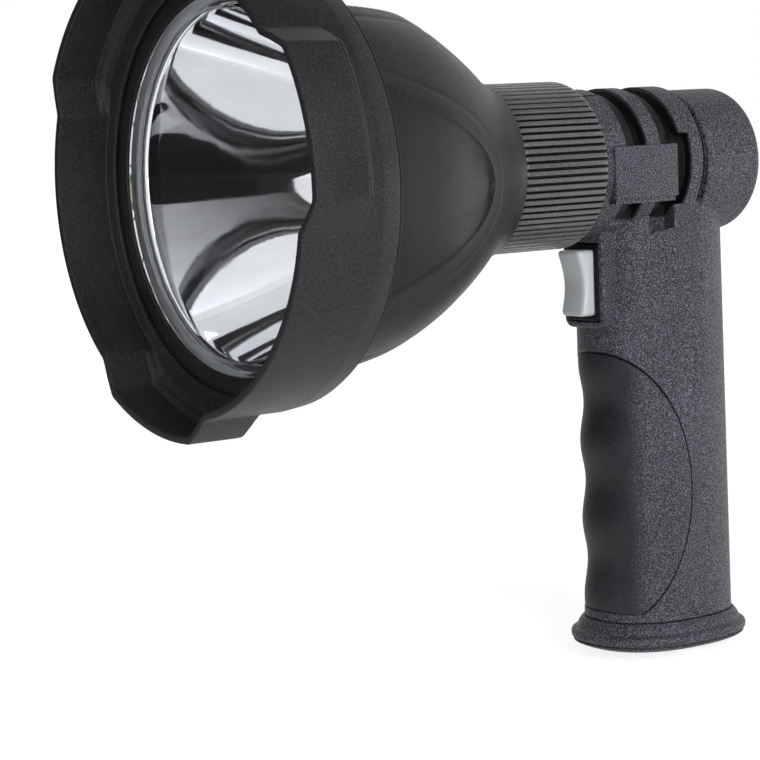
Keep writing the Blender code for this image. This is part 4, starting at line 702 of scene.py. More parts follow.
def moulded(name, colour, pale, rough, grain, height, sparkle_strength, edge=WORN_AND_HIGHLIT_EDGE, wear=0.35, shine=0.3,
            fade=None, painted_shade=None):
    """Moulded plastic or rubber: a pebbled grain with painted sparkle highlights, uneven gloss, faint
    handling marks, pale edges that are part wear and part painted highlight, and painted shade on groove
    floors when given.
    """
    make = start_material(name, Specular_IOR_Level=shine)
    cells = {"Vector": make.place, "Scale": grain}
    pebbles = make.node("TexVoronoi", cells, feature="SMOOTH_F1").outputs["Distance"]
    grit = make.noise(grain * GRIT_SCALE_SHARE, 1.0, 0.5)
    fine = make.noise(grain * FINE_SCALE_SHARE, 2.0, 0.6)
    broad = make.noise(38.0, 4.0, 0.6)
    marks = make.noise(900.0, 4.0, 0.7, stretch=(1.0, 0.18, 1.0))
    relief = make.total(make.times(grit, GRIT_RELIEF), make.times(pebbles, PEBBLE_RELIEF),
                        make.times(fine, FINE_RELIEF))
    # The grit's high points are painted pale, as painted sparkle highlights
    sparkle_highlights = make.remap(grit, *SPARKLE_HIGHLIGHT_RANGE)
    strength = 1.0
    # A fade takes grain and painted sparkle away along Y; on the grip it darkens the front, a painted shade
    if fade:
        strength = make.remap(make.node("SeparateXYZ", {0: make.place}).outputs["Y"], *fade)
        sparkle_highlights = make.times(sparkle_highlights, strength)
    # Edges are painted paler: part wear, part painted highlight
    rounded, on_edge = make.edges(edge)
    tone = make.total(make.times(sparkle_highlights, sparkle_strength), make.remap(broad, 0.35, 0.7, 0.0, 0.1),
                      make.times(on_edge, wear))
    painted = make.mix(tone, colour, pale)
    # Groove floors are painted dark: a painted shade where the grooves would lie in shadow
    if painted_shade:
        floor, rim, dark, last_y = painted_shade
        painted = make.mix(outside_painted_shade(make, floor, rim, last_y), dark, painted)
    gloss = make.total(make.remap(broad, 0.3, 0.7, rough - 0.05, rough + 0.05),
                       make.remap(marks, 0.45, 0.75, 0.0, 0.05), make.times(on_edge, -0.1))
    normal = make.bump(relief, height, strength, rounded)
    return make.drive(Base_Color=painted, Roughness=gloss, Normal=normal)


def metal(name, colour, rough, brushed, scale=1400.0):
    """Bare metal with drawn marks, uneven gloss and slight tarnish."""
    make = start_material(name, Metallic=1.0)
    marks = make.noise(scale, 4.0, 0.65, brushed)
    tarnish = make.remap(make.noise(90.0, 4.0, 0.6), 0.35, 0.72, 0.0, 0.55)
    rounded, _ = make.edges()
    return make.drive(
        Base_Color=make.mix(tarnish, colour, [channel * TARNISH_SHARE for channel in colour]),
        Roughness=make.remap(marks, 0.3, 0.7, rough, rough + 0.12),
        Normal=make.bump(marks, BRUSH_RELIEF, 0.6, rounded),
    )


def chrome():
    """Vacuum-plated reflector: almost a mirror, with the faint waves and haze of the moulding below."""
    make = start_material("reflector_plating", Metallic=1.0)
    waves = make.noise(55.0, 2.0, 0.5, stretch=(1.0, 0.3, 1.0))
    relief = make.total(waves, make.times(make.noise(420.0, 2.0, 0.5), 0.05))
    haze = make.noise(75.0, 5.0, 0.7)
    return make.drive(
        Base_Color=make.mix(make.remap(haze, 0.4, 0.75, 0.0, 0.6), (0.9, 0.905, 0.92), (0.82, 0.82, 0.84)),
        Roughness=make.remap(haze, 0.4, 0.8, 0.025, 0.07),
        Normal=make.bump(relief, PLATING_RELIEF, 0.5),
    )


def glass(name, tint):
    """Clear plastic or glass with faint smears and waviness."""
    make = start_material(name, Transmission_Weight=1.0, IOR=1.3)
    smears = make.noise(120.0, 5.0, 0.7, stretch=(1.0, 1.0, 0.35))
    return make.drive(
        Base_Color=make.mix(smears, tint, [channel * SMEAR_SHARE for channel in tint]),
        Roughness=make.remap(smears, 0.5, 0.85, 0.0, 0.03),
        Normal=make.bump(make.noise(40.0, 1.0, 0.4), GLASS_RELIEF, 0.3),
    )


def milky():
    """The trigger's pale cloudy plastic, which glows a little at its edges: by its subsurface light, and by
    edges painted paler as a painted glow.
    """
    make = start_material(
        "trigger_moulding", IOR=1.5, Coat_Weight=0.25, Coat_Roughness=0.15, Subsurface_Weight=0.45,
        Subsurface_Scale=GLOW_DEPTH, Subsurface_Radius=(0.8, 0.95, 1.0),
    )
    fine = make.noise(2600.0, 3.0, 0.6)
    rounded, on_edge = make.edges()
    # Random paler patches, and edges painted paler: a painted glow
    tone = make.total(make.remap(make.noise(160.0, 4.0, 0.6), 0.35, 0.7, 0.0, 0.5), make.times(on_edge, 0.4))
    return make.drive(
        Base_Color=make.mix(tone, (0.84, 0.89, 0.93), (0.9, 0.94, 0.97)),
        Roughness=make.remap(fine, 0.3, 0.7, 0.3, 0.42),
        Normal=make.bump(fine, FAINT_GRAIN, 0.5, rounded),
    )


def circuit_board():
    """Green solder mask with copper tracks under it and fine weave."""
    make = start_material("board_laminate", IOR=1.5, Coat_Weight=0.3, Coat_Roughness=0.2)
    bricks = {"Vector": make.place, "Scale": 420.0, "Mortar Size": 0.035}
    tracks = make.node("TexBrick", bricks).outputs["Fac"]
    weave = make.noise(5200.0, 2.0, 0.5)
    green = make.mix(make.noise(140.0, 3.0, 0.6), (0.012, 0.11, 0.045), (0.02, 0.16, 0.07))
    return make.drive(
        Base_Color=make.mix(tracks, green, (0.05, 0.27, 0.12)),
        Roughness=make.remap(weave, 0.3, 0.7, 0.32, 0.5),
        Normal=make.bump(make.total(tracks, make.times(weave, 0.3)), TRACK_RELIEF, 0.6),
    )


def phosphor():
    """The light source: yellow phosphor under clear silicone."""
    make = start_material("emitter_phosphor", IOR=1.42, Coat_Weight=1.0, Coat_Roughness=0.03)
    grains = make.noise(3800.0, 3.0, 0.6)
    return make.drive(
        Base_Color=make.mix(grains, (0.78, 0.6, 0.16), (0.88, 0.76, 0.34)),
        Roughness=make.remap(grains, 0.3, 0.7, 0.2, 0.32),
        Normal=make.bump(grains, FINE_GRAIN, 0.4),
    )


# A moulding takes a name, two colours, its roughness, the grain's scale and height, and the strength of its
# painted sparkle highlights
FINISHES = {
    "bezel_plastic": moulded("bezel_moulding", (0.0112, 0.0114, 0.013), (0.12, 0.121, 0.135), 0.45, 3400.0,
                             MEDIUM_GRAIN, 0.3, edge=0.0004, wear=0.2, shine=0.26),
    "bowl_plastic": moulded("bowl_moulding", (0.006, 0.006, 0.007), (0.034, 0.035, 0.039), 0.42, 3000.0,
                            FINE_GRAIN, 0.22, edge=0.0005, wear=0.15, shine=0.22),
    "ring_plastic": moulded("ring_moulding", (0.11, 0.105, 0.108), (0.42, 0.4, 0.41), 0.27, 2600.0,
                            FINE_GRAIN, 0.2, edge=0.0003, wear=0.55, shine=0.5, painted_shade=RING_GROOVE_PAINTED_SHADE),
    "housing_plastic": moulded("housing_moulding", (0.0065, 0.007, 0.009), (0.3, 0.31, 0.37), 0.5, 3600.0,
                               COARSE_GRAIN, 0.8, edge=0.0004, wear=0.1, painted_shade=SLOT_PAINTED_SHADE),
    "grip_rubber": moulded("grip_moulding", (0.009, 0.0095, 0.0117), (0.31, 0.32, 0.38), 0.55, 3600.0,
                           COARSE_GRAIN, 0.75, edge=0.0004, wear=0.06, fade=GRIP_SHADED_FRONT_FADE),
    "silicone": moulded("silicone_gasket", (0.42, 0.43, 0.45), (0.6, 0.61, 0.63), 0.4, 2400.0,
                        FAINT_GRAIN, 0.2),
    "seal_rubber": moulded("seal_moulding", (0.004, 0.0045, 0.005), (0.018, 0.02, 0.022), 0.5, 2400.0,
                           FINE_GRAIN, 0.2, wear=0.25, shine=0.15),
    "inner_plastic": moulded("inner_moulding", (0.02, 0.02, 0.022), (0.08, 0.08, 0.086), 0.5, 2200.0,
                             FINE_GRAIN, 0.25),
    "cell_sleeve": moulded("sleeve_film", (0.02, 0.11, 0.3), (0.06, 0.2, 0.45), 0.3, 900.0,
                           FAINT_GRAIN, 0.25),
    "red_wire": moulded("red_insulation", (0.42, 0.012, 0.012), (0.6, 0.05, 0.045), 0.42, 2600.0,
                        FAINT_GRAIN, 0.3),
    "black_wire": moulded("black_insulation", (0.009, 0.009, 0.01), (0.04, 0.04, 0.042), 0.42, 2600.0,
                          FAINT_GRAIN, 0.3),
    "reflector_mirror": chrome(),
    "clear_lens": glass("lens_clear", (0.975, 0.985, 0.99)),
    "trigger_plastic": milky(),
    "aluminium": metal("aluminium_turned", (0.78, 0.79, 0.81), 0.24, (1.0, 6.0, 1.0)),
    "anodised": metal("aluminium_anodised", (0.03, 0.03, 0.033), 0.34, (1.0, 6.0, 1.0)),
    "steel": metal("steel_plated", (0.5, 0.5, 0.52), 0.26, (3.0, 1.0, 3.0), 2200.0),
    "brass": metal("brass_turned", (0.74, 0.56, 0.27), 0.24, (1.0, 1.0, 6.0)),
    "contact_metal": metal("contact_nickel", (0.72, 0.7, 0.66), 0.22, (1.0, 6.0, 1.0)),
    "board": circuit_board(),
    "led_phosphor": phosphor(),
}
# Nodes of the model whose finish differs from that of their slot
OWN_FINISHES = {"lens_gasket": "silicone", "neck_tube": "anodised"}


# Head


def ramp_share(along):
    """A straight ramp from 0 to 1 with short round ends."""
    soft = RAMP_SOFT_SHARE
    if along < soft:
        return max(along + soft, 0) ** 2 / (4 * soft)
    if along > 1 - soft:
        return 1 - max(1 + soft - along, 0) ** 2 / (4 * soft)
    return along


def bezel_places():
    """(angle, how far the rim is raised) for each section of the bezel."""
    soft = RAMP_SOFT_SHARE
    ends = [soft * (2 * part / RAMP_PARTS - 1) for part in range(RAMP_PARTS + 1)]
    ramp = ends + [0.5] + [1 + end for end in ends]
    spacing = 360 / LOBE_COUNT
    margin = LOBE_RAMP_SPAN * soft
    top = LOBE_TOP_SPAN - 2 * margin
    low = spacing - LOBE_TOP_SPAN - 2 * LOBE_RAMP_SPAN - 2 * margin
    places = []
    for lobe in range(LOBE_COUNT):
        start = LOBE_FIRST_ANGLE + lobe * spacing - LOBE_TOP_SPAN / 2
        places += [(start + LOBE_RAMP_SPAN * (along - 1), ramp_share(along)) for along in ramp]
        places += [(start + margin + top * step / TOP_PARTS, 1) for step in range(1, TOP_PARTS)]
        end = start + LOBE_TOP_SPAN
        places += [(end + LOBE_RAMP_SPAN * (1 - along), ramp_share(along)) for along in reversed(ramp)]
        foot = end + LOBE_RAMP_SPAN + margin
        places += [(foot + low * step / LOW_PARTS, 0) for step in range(1, LOW_PARTS)]
    return places


def bezel_outline(share):
    """The bezel's cut section where its rim is raised by a share of a lobe."""
    rise = LOBE_RISE * share
    top = RIM_RADIUS + rise
    wall = top - BEZEL_WALL
    bevel_end = LOBE_LENGTH + LOBE_BEVEL_LENGTH
    outer = [
        (0, top),
        (LOBE_LENGTH - LOBE_LINE_LENGTH, top),
        (LOBE_LENGTH - LOBE_LINE_LENGTH / 2, top - LOBE_LINE_DEPTH * share),
        (LOBE_LENGTH, top),
        (bevel_end, RIM_RADIUS + rise * LOBE_BEVEL_SHARE),
        (bevel_end + LOBE_STEP_LENGTH, RIM_RADIUS),
        (BEZEL_LENGTH - TAPER_LENGTH, RIM_RADIUS),
        (BEZEL_LENGTH, RIM_RADIUS - TAPER),
    ]
    inner = [(0, wall)] + [(LIP_STATION * along, wall - rise * (1 - depth)) for along, depth in POCKET_SHARES]
    inner += [
        (LIP_STATION, BEZEL_BORE - LIP_DEPTH),
        (LIP_STATION + LIP_LENGTH, BEZEL_BORE - LIP_DEPTH),
        (LIP_STATION + LIP_LENGTH, BEZEL_BORE),
        (BEZEL_LENGTH, BEZEL_BORE),
    ]
    return soften(outer + inner[::-1], SOFT_EDGE)


def make_bezel():
    """The rim with its three raised lobes and the stepped pockets behind them."""
    rows = [around(bezel_outline(share), angle, RIM_Y) for angle, share in bezel_places()]
    stand_for(skin("bezel_rim", rows, True), "lamp", "bezel_plastic", "bezel_shroud")


def make_lens():
    """The clear lens with its stepped, ridged rim, and the ring that holds it."""
    boss = LENS_STATION - LENS_BOSS_LENGTH
    face = boss + LENS_STEP_DEPTH
    rear = LENS_STATION + LENS_FLANGE_LENGTH
    step = LENS_RADIUS - LENS_STEP_WIDTH
    outline = [
        (face, 0), (face, step - LENS_RIDGE_WIDTH), (boss, step), (boss, LENS_RADIUS - LENS_RIDGE_WIDTH),
        (face, LENS_RADIUS), (LENS_STATION, LENS_RADIUS), (LENS_STATION, LENS_FLANGE_RADIUS),
        (rear, LENS_FLANGE_RADIUS), (rear, 0),
    ]
    stand_for(lathe("lens_disc", outline, RIM_Y, LENS_STEPS, FINE_EDGE), "lamp", "clear_lens", "lens")
    bore = LENS_RADIUS + GAP
    end = RETAINER_STATION + RETAINER_LENGTH
    ring = [(RETAINER_STATION, COLLAR_RADIUS), (end, COLLAR_RADIUS), (end, bore), (RETAINER_STATION, bore)]
    stand_for(lathe("lens_ring", ring, RIM_Y), "lamp", "bezel_plastic", "lens_retainer")


def make_reflector():
    """The deep plated paraboloid with its flange and the round lip of its mouth."""
    focus = REFLECTOR_MOUTH ** 2 / (4 * REFLECTOR_DEPTH)
    end = REFLECTOR_DEPTH - REFLECTOR_HOLE ** 2 / (4 * focus)
    turn = math.atan(2 * focus / REFLECTOR_MOUTH)
    start = REFLECTOR_LIP * (1 - math.sin(turn))
    mouth, tip = math.sqrt(REFLECTOR_DEPTH - start), math.sqrt(REFLECTOR_DEPTH - end)
    centre = 2 * math.sqrt(focus) * mouth + REFLECTOR_LIP * math.cos(turn)
    inner = [(REFLECTOR_LIP * (1 - cosine), centre - REFLECTOR_LIP * sine)
             for cosine, sine in arc(math.pi / 2 - turn, CORNER_PARTS * 2)[:-1]]
    outer = []
    for part in range(REFLECTOR_PARTS + 1):
        root = mouth + (tip - mouth) * part / REFLECTOR_PARTS
        radius = 2 * math.sqrt(focus) * root
        station = REFLECTOR_DEPTH - root * root
        inner.append((station, radius))
        outer.append((station + REFLECTOR_WALL, radius + REFLECTOR_WALL / 2))
    flange = [(0, LENS_FLANGE_RADIUS), (REFLECTOR_WALL, LENS_FLANGE_RADIUS)]
    shell = lathe("reflector_shell", flange + outer + inner[::-1], REFLECTOR_Y, LENS_STEPS, 0)
    stand_for(shell, "lamp", "reflector_mirror", "reflector")


def make_light():
    """The domed light source on its round board."""
    low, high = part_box("led_board")
    outline = disc_outline(LIGHT_BOARD_RADIUS, high.y - low.y)
    board = lathe("light_board", outline, low.y, FINE_STEPS, FINE_EDGE)
    stand_for(board, "carrier", "board", "led_board")
    low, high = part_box("led_emitter")
    base = high.y - low.y - EMITTER_BASE_LENGTH
    dome = EMITTER_DOME_RADIUS
    outline = [(base - dome * cosine, dome * sine) for cosine, sine in arc(math.pi / 2, EMITTER_PARTS)]
    back = base + EMITTER_BASE_LENGTH
    outline += [(base, EMITTER_BASE_RADIUS), (back, EMITTER_BASE_RADIUS), (back, 0)]
    emitter = lathe("light_emitter", outline, low.y, EMITTER_STEPS, 0)
    stand_for(emitter, "carrier", "led_phosphor", "led_emitter")


def scoop_depth(station, radius, angle):
    """Depth of the bowl's scoops: hollow floor, short steep lip, smooth band and a faint seam round it."""
    spacing = 360 / SCOOP_COUNT
    away = abs((angle - SCOOP_TURN + spacing / 2) % spacing - spacing / 2)
    across = math.radians(away) * radius / SCOOP_HALF_WIDTH
    left = 1 - station / SCOOP_LENGTH
    inside = left - across * across
    outward = -inside / math.hypot(1 / SCOOP_LENGTH, 2 * across / SCOOP_HALF_WIDTH)
    lip = SCOOP_LIP_DEPTH * ease(1 - outward / SCOOP_LIP_LENGTH)
    if inside > 0:
        return lip + (SCOOP_DEPTH - SCOOP_LIP_DEPTH) * inside / math.sqrt(left)
    off_seam = abs(outward - SCOOP_BAND_WIDTH) / SCOOP_SEAM_WIDTH
    return lip + SCOOP_SEAM_DEPTH * ease(1 - off_seam)


def bowl_outline(angle):
    """The bowl's cut section at an angle, outer skin front to rear and then back inside."""
    shoulder_station = BEZEL_LENGTH + GAP
    start = shoulder_station + SHOULDER_LENGTH
    end = BOWL_REAR - RIM_Y
    shoulder = RIM_RADIUS - TAPER - SHOULDER_INSET
    shelf = REFLECTOR_Y - RIM_Y + REFLECTOR_WALL + GAP
    outer, hollow = [], []
    for part in range(BOWL_PARTS + 1):
        along = part / BOWL_PARTS
        station = (end - start) * along
        plain = NECK_RADIUS + (BOWL_FRONT_RADIUS - NECK_RADIUS) * curve_at(BOWL_SHARES, along)
        radius = plain - scoop_depth(station, plain, angle)
        outer.append((start + station, radius))
        if part % HOLLOW_ROW_PARTS == 0 and along <= HOLLOW_SHARE:
            hollow.append((start + station, radius - BOWL_WALL))
    front = soften([
        (LENS_STATION, COLLAR_RADIUS), (shoulder_station, COLLAR_RADIUS), (shoulder_station, shoulder),
        (start, shoulder), (start, outer[0][1]), outer[0],
    ], SOFT_EDGE)[CORNER_PARTS + 1:-CORNER_PARTS - 1]
    wall = end - NECK_WALL
    inner = [(LENS_STATION, COLLAR_BORE), (shelf, COLLAR_BORE), (shelf, COLLAR_BORE - SHELF_WIDTH)]
    inner += hollow + [(wall, NUT_ROOM), (wall, NECK_BORE), (end, NECK_BORE)]
    return [(LENS_STATION, COLLAR_RADIUS)] + front + outer + inner[::-1]


def make_bowl():
    """The domed head shell with a scoop on each flank."""
    angles = [360 * step / BOWL_STEPS for step in range(BOWL_STEPS)]
    rows = [around(bowl_outline(angle), angle, RIM_Y) for angle in angles]
    stand_for(skin("bowl_shell", rows, True), "lamp", "bowl_plastic", "head_bowl")


def ring_row(station, radius_at):
    """One row of points round the focus ring. radius_at gives a radius for a share of a rib's pitch."""
    row = []
    for step in range(RIB_COUNT * RIB_PARTS):
        radius = radius_at((step % RIB_PARTS) / RIB_PARTS)
        row += around([(station, radius)], 360 * step / (RIB_COUNT * RIB_PARTS), RING_LOW.y)
    return row


def rib_radius(share, drop):
    """The knurl's radius at a share of a rib's pitch, where its ends are dropped by a share of its depth."""
    depth = ease((abs(share - 0.5) - RIB_TOP_SHARE) / (RIB_FOOT_SHARE - RIB_TOP_SHARE))
    return RING_RADIUS - RIB_DEPTH * max(depth, drop)


def make_focus_ring():
    """The knurled focus ring, its round-topped ribs chamfered at both ends, with the cam grooves inside."""
    length = RING_HIGH.y - RING_LOW.y
    chamfer = [(RIB_CHAMFER * along, drop) for along, drop in CHAMFER_SHARES]
    stations = chamfer + [(length * part / RING_ROWS, 0) for part in range(1, RING_ROWS)]
    stations += [(length - station, drop) for station, drop in chamfer[::-1]]
    rows = [ring_row(station, lambda share, drop=drop: rib_radius(share, drop)) for station, drop in stations]
    rows += [ring_row(station, lambda share: RING_BORE) for station in (length, 0)]
    ring = skin("focus_sleeve", rows, True)
    cut(ring, cam_groove(90), cam_groove(270))
    stand_for(ring, "focus_ring", "ring_plastic", "focus_ring")


def cam_groove(start_angle):
    """Cutter for one helical groove in the ring's bore."""
    rows = []
    for part in range(CAM_PARTS + 1):
        angle = -CAM_RUN_OUT + (CAM_TURN + 2 * CAM_RUN_OUT) * part / CAM_PARTS
        station = CAM_STATION + CAM_TRAVEL * angle / CAM_TURN
        low, high = station - CAM_HALF_WIDTH, station + CAM_HALF_WIDTH
        inside = RING_BORE - OVERRUN / 2
        corners = [(low, inside), (high, inside), (high, CAM_OUTSIDE), (low, CAM_OUTSIDE)]
        rows.append(around(corners, start_angle + angle, RING_LOW.y))
    return skin(f"cam_cut_{start_angle}", rows)


# Handle


def section(half_front, half_rear, half_width, height, centre_y=0.0):
    """A rounded grip section: its depth ahead of and behind the centre may differ."""
    power = 2 / GRIP_POWER
    points = []
    for part in range(OUTLINE_POINTS):
        angle = 2 * math.pi * (part + 0.5) / OUTLINE_POINTS
        cosine, sine = math.cos(angle), math.sin(angle)
        depth = half_rear if cosine > 0 else half_front
        points.append(Vector((half_width * math.copysign(abs(sine) ** power, sine),
                              centre_y + depth * math.copysign(abs(cosine) ** power, cosine), height)))
    return points


def grip_section(height, front_inset=0.0, inset=0.0, press=0.0, wave=0.0):
    """The grip's outline at a height, made smaller by the insets, pressed in at the front and waved there."""
    flare = GRIP_FLARE * (GRIP_TOP - height) / (GRIP_TOP - GRIP_BOTTOM)
    half_front = GRIP_HALF_DEPTH - front_inset
    half_rear = GRIP_HALF_DEPTH + flare - inset
    points = section(half_front, half_rear, GRIP_HALF_WIDTH + flare / 2 - inset, height)
    for point in points:
        forward = max(-point.y / half_front, 0)
        point.y += press * forward ** 3 + wave * forward
    return points


def grip_solid(name, front_inset=0.0, inset=0.0):
    """The whole grip as a solid, made smaller at its front and elsewhere."""
    return skin(name, [grip_section(height, front_inset, inset) for height in (GRIP_BOTTOM, GRIP_TOP)])


def screw_places():
    """(node, place under the head, direction, length) of each screw, read from the model."""
    places = []
    for index in range(1, SCREW_COUNT + 1):
        low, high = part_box(f"housing_screw_{index}")
        middle = (low + high) / 2
        seat = Vector((low.x + SCREW_HEAD_LENGTH, middle.y, middle.z))
        places.append((f"housing_screw_{index}", seat, Vector((1, 0, 0)), high.x - seat.x))
    for side in ("left", "right"):
        low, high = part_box(f"base_screw_{side}")
        middle = (low + high) / 2
        seat = Vector((middle.x, middle.y, low.z + SCREW_HEAD_LENGTH))
        places.append((f"base_screw_{side}", seat, Vector((0, 0, 1)), high.z - seat.z))
    return places


def slot_cutter(name, station):
    """One stepped groove round the barrel, kept off the middle of the grip below."""
    step = station + SLOT_LENGTH * SLOT_STEP_SHARE
    end = station + SLOT_LENGTH
    reach = BARREL_RADIUS + SLOT_REACH
    floor, ledge = BARREL_RADIUS - SLOT_DEPTH, BARREL_RADIUS - SLOT_STEP_DEPTH
    outline = [(station, reach), (end, reach), (end, floor), (step, floor), (step, ledge), (station, ledge)]
    keep = bar(f"{name}_keep", SLOT_HALF_KEEP, BARREL_Y + station - OVERRUN, BARREL_Y + end + OVERRUN,
               BEAM_Z - reach - OVERRUN, BEAM_Z - BORE_RADIUS / 2)
    return cut(lathe(name, outline, BARREL_Y, SLOT_STEPS, 0), keep)


def barrel_solid():
    """The barrel's turned outside with the rounded tail."""
    groove = BARREL_LENGTH - TAIL_LENGTH - TAIL_GROOVE_LENGTH
    start = groove + TAIL_GROOVE_LENGTH
    neck = BARREL_RADIUS - TAIL_GROOVE_DEPTH
    edge = SOFT_EDGE
    outer = [(0, 0), (0, BARREL_RADIUS - edge), (edge, BARREL_RADIUS), (groove - edge, BARREL_RADIUS),
             (groove, BARREL_RADIUS - edge), (groove, neck), (start + OVERRUN, neck), (start + OVERRUN, 0)]
    tail = [(start, 0), (start, TAIL_RADIUS - edge), (start + edge, TAIL_RADIUS)]
    tail += [(BARREL_LENGTH - TAIL_FILLET * (1 - sine), TAIL_RADIUS - TAIL_FILLET * (1 - cosine))
             for cosine, sine in arc(math.pi / 2, TAIL_PARTS)]
    tail.append((BARREL_LENGTH, 0))
    barrel = lathe("barrel", outer, BARREL_Y, LATHE_STEPS, 0)
    return join(barrel, lathe("tail", tail, BARREL_Y, LATHE_STEPS, 0, BEAM_Z - TAIL_DROP))


def rectangle(half_width, half_height, corner, y, centre_z=0.0):
    """A rectangle with round corners, in the plane at y."""
    points = []
    for quarter in range(4):
        x = (half_width - corner) * (1 if quarter in (0, 3) else -1)
        z = (half_height - corner) * (1 if quarter in (0, 1) else -1)
        for part in range(QUARTER_PARTS + 1):
            angle = math.pi / 2 * (quarter + part / QUARTER_PARTS)
            points.append((x + corner * math.cos(angle), y, centre_z + z + corner * math.sin(angle)))
    return points


def rounded_face(half_width, half_height, corner, face, rear, edge, centre_z):
    """Rows from the rear to a face, whose front edge is rounded."""
    rows = [rectangle(half_width, half_height, corner, rear, centre_z)]
    for cosine, sine in arc(math.pi / 2, FACE_PARTS):
        inset = edge * (1 - cosine)
        tight = max(corner - inset, edge / 4)
        y = face + edge * (1 - sine)
        rows.append(rectangle(half_width - inset, half_height - inset, tight, y, centre_z))
    return rows


def housing_cavity():
    """Cutter for the hollow of the handle and barrel, with the screw bosses left standing."""
    depth = CAVITY_HALF_DEPTH
    hollow = skin("cavity", [section(depth, depth, CAVITY_HALF_WIDTH, height, CELL_BACK)
                             for height in (GRIP_BOTTOM - OVERRUN, CAVITY_TOP)])
    lip = BARREL_LENGTH - TAIL_WALL
    plate = lip - PLATE_ROOM_LENGTH
    bore = lathe("bore", [
        (-OVERRUN, 0), (-OVERRUN, NECK_BORE), (SEAT_WALL, NECK_BORE), (SEAT_WALL, SEAT_RADIUS),
        (SEAT_END, SEAT_RADIUS), (SEAT_END, BORE_RADIUS), (plate, BORE_RADIUS), (plate, PLATE_ROOM_RADIUS),
        (lip, PLATE_ROOM_RADIUS), (lip, TAIL_OPENING), (BARREL_LENGTH + OVERRUN, TAIL_OPENING),
        (BARREL_LENGTH + OVERRUN, 0),
    ], BARREL_Y, BORE_STEPS, 0)
    upper_top = BEAM_Z - math.sqrt(BORE_RADIUS ** 2 - UPPER_HALF_WIDTH ** 2)
    mouth_half = TRIGGER_HALF_WIDTH + FRAME_RIM + 2 * GAP
    mouth_high = TRIGGER_HALF_HEIGHT + FRAME_RIM + 2 * GAP
    flange_front = -FRAME_REAR - FRAME_FLANGE_LENGTH - GAP
    room_half = TRIGGER_HALF_WIDTH + TRIGGER_FLANGE + 2 * GAP
    room_high = TRIGGER_HALF_HEIGHT + TRIGGER_FLANGE + 2 * GAP
    join(
        hollow,
        bar("upper", UPPER_HALF_WIDTH, -UPPER_FRONT, UPPER_REAR, CAVITY_TOP - OVERRUN, upper_top),
        bore,
        bar("mouth", mouth_half, -COLLAR_FACE - OVERRUN, flange_front + OVERRUN / 4, TRIGGER_Z - mouth_high,
            TRIGGER_Z + mouth_high),
        bar("seat", mouth_half + FRAME_FLANGE, flange_front, -FRAME_REAR + GAP,
            TRIGGER_Z - mouth_high - FRAME_FLANGE, TRIGGER_Z + mouth_high),
        bar("room", room_half, -FRAME_REAR - GAP, -UPPER_FRONT + OVERRUN, TRIGGER_Z - room_high,
            TRIGGER_Z + room_high),
    )
    bosses = []
    for name, seat, direction, length in screw_places():
        if direction.x:
            bosses.append(cross_rod(f"boss_{name}", BARREL_RADIUS + OVERRUN, seat.y, seat.z, BOSS_RADIUS))
        else:
            near, far = sorted((seat.x * BASE_BOSS_SHARE, math.copysign(CAVITY_HALF_WIDTH + OVERRUN, seat.x)))
            low = (near, seat.y - BASE_BOSS_HALF_DEPTH, BASE_TOP + GAP)
            high = (far, seat.y + BASE_BOSS_HALF_DEPTH, seat.z + length + GAP)
            bosses.append(block(f"boss_{name}", low, high))
    return cut(hollow, *bosses)


def insert_disc(name, margin=0.0):
    """The round side outline of the finger insert, as a disc across the grip."""
    middle = FINGER_FIRST + (FINGER_COUNT - 1) * FINGER_PITCH / 2
    return cross_rod(name, GRIP_HALF_WIDTH + GRIP_FLARE + OVERRUN, -INSERT_BACK - INSERT_RADIUS,
                     middle - INSERT_DROP, INSERT_RADIUS + margin, LENS_STEPS)


def insert_floor(name, margin=0.0):
    """What is taken off below the finger insert."""
    half = GRIP_HALF_DEPTH + GRIP_FLARE + OVERRUN
    return bar(name, half, -INSERT_RADIUS * 3, half, -INSERT_RADIUS, GRIP_BOTTOM + INSERT_LOW_MARGIN - margin)


def screw_hole(name, seat, direction, outward, inward, radius):
    """A round cutter along a screw, from outside its seat to a depth."""
    return rod(name, seat - direction * outward, seat + direction * inward, radius + GAP)


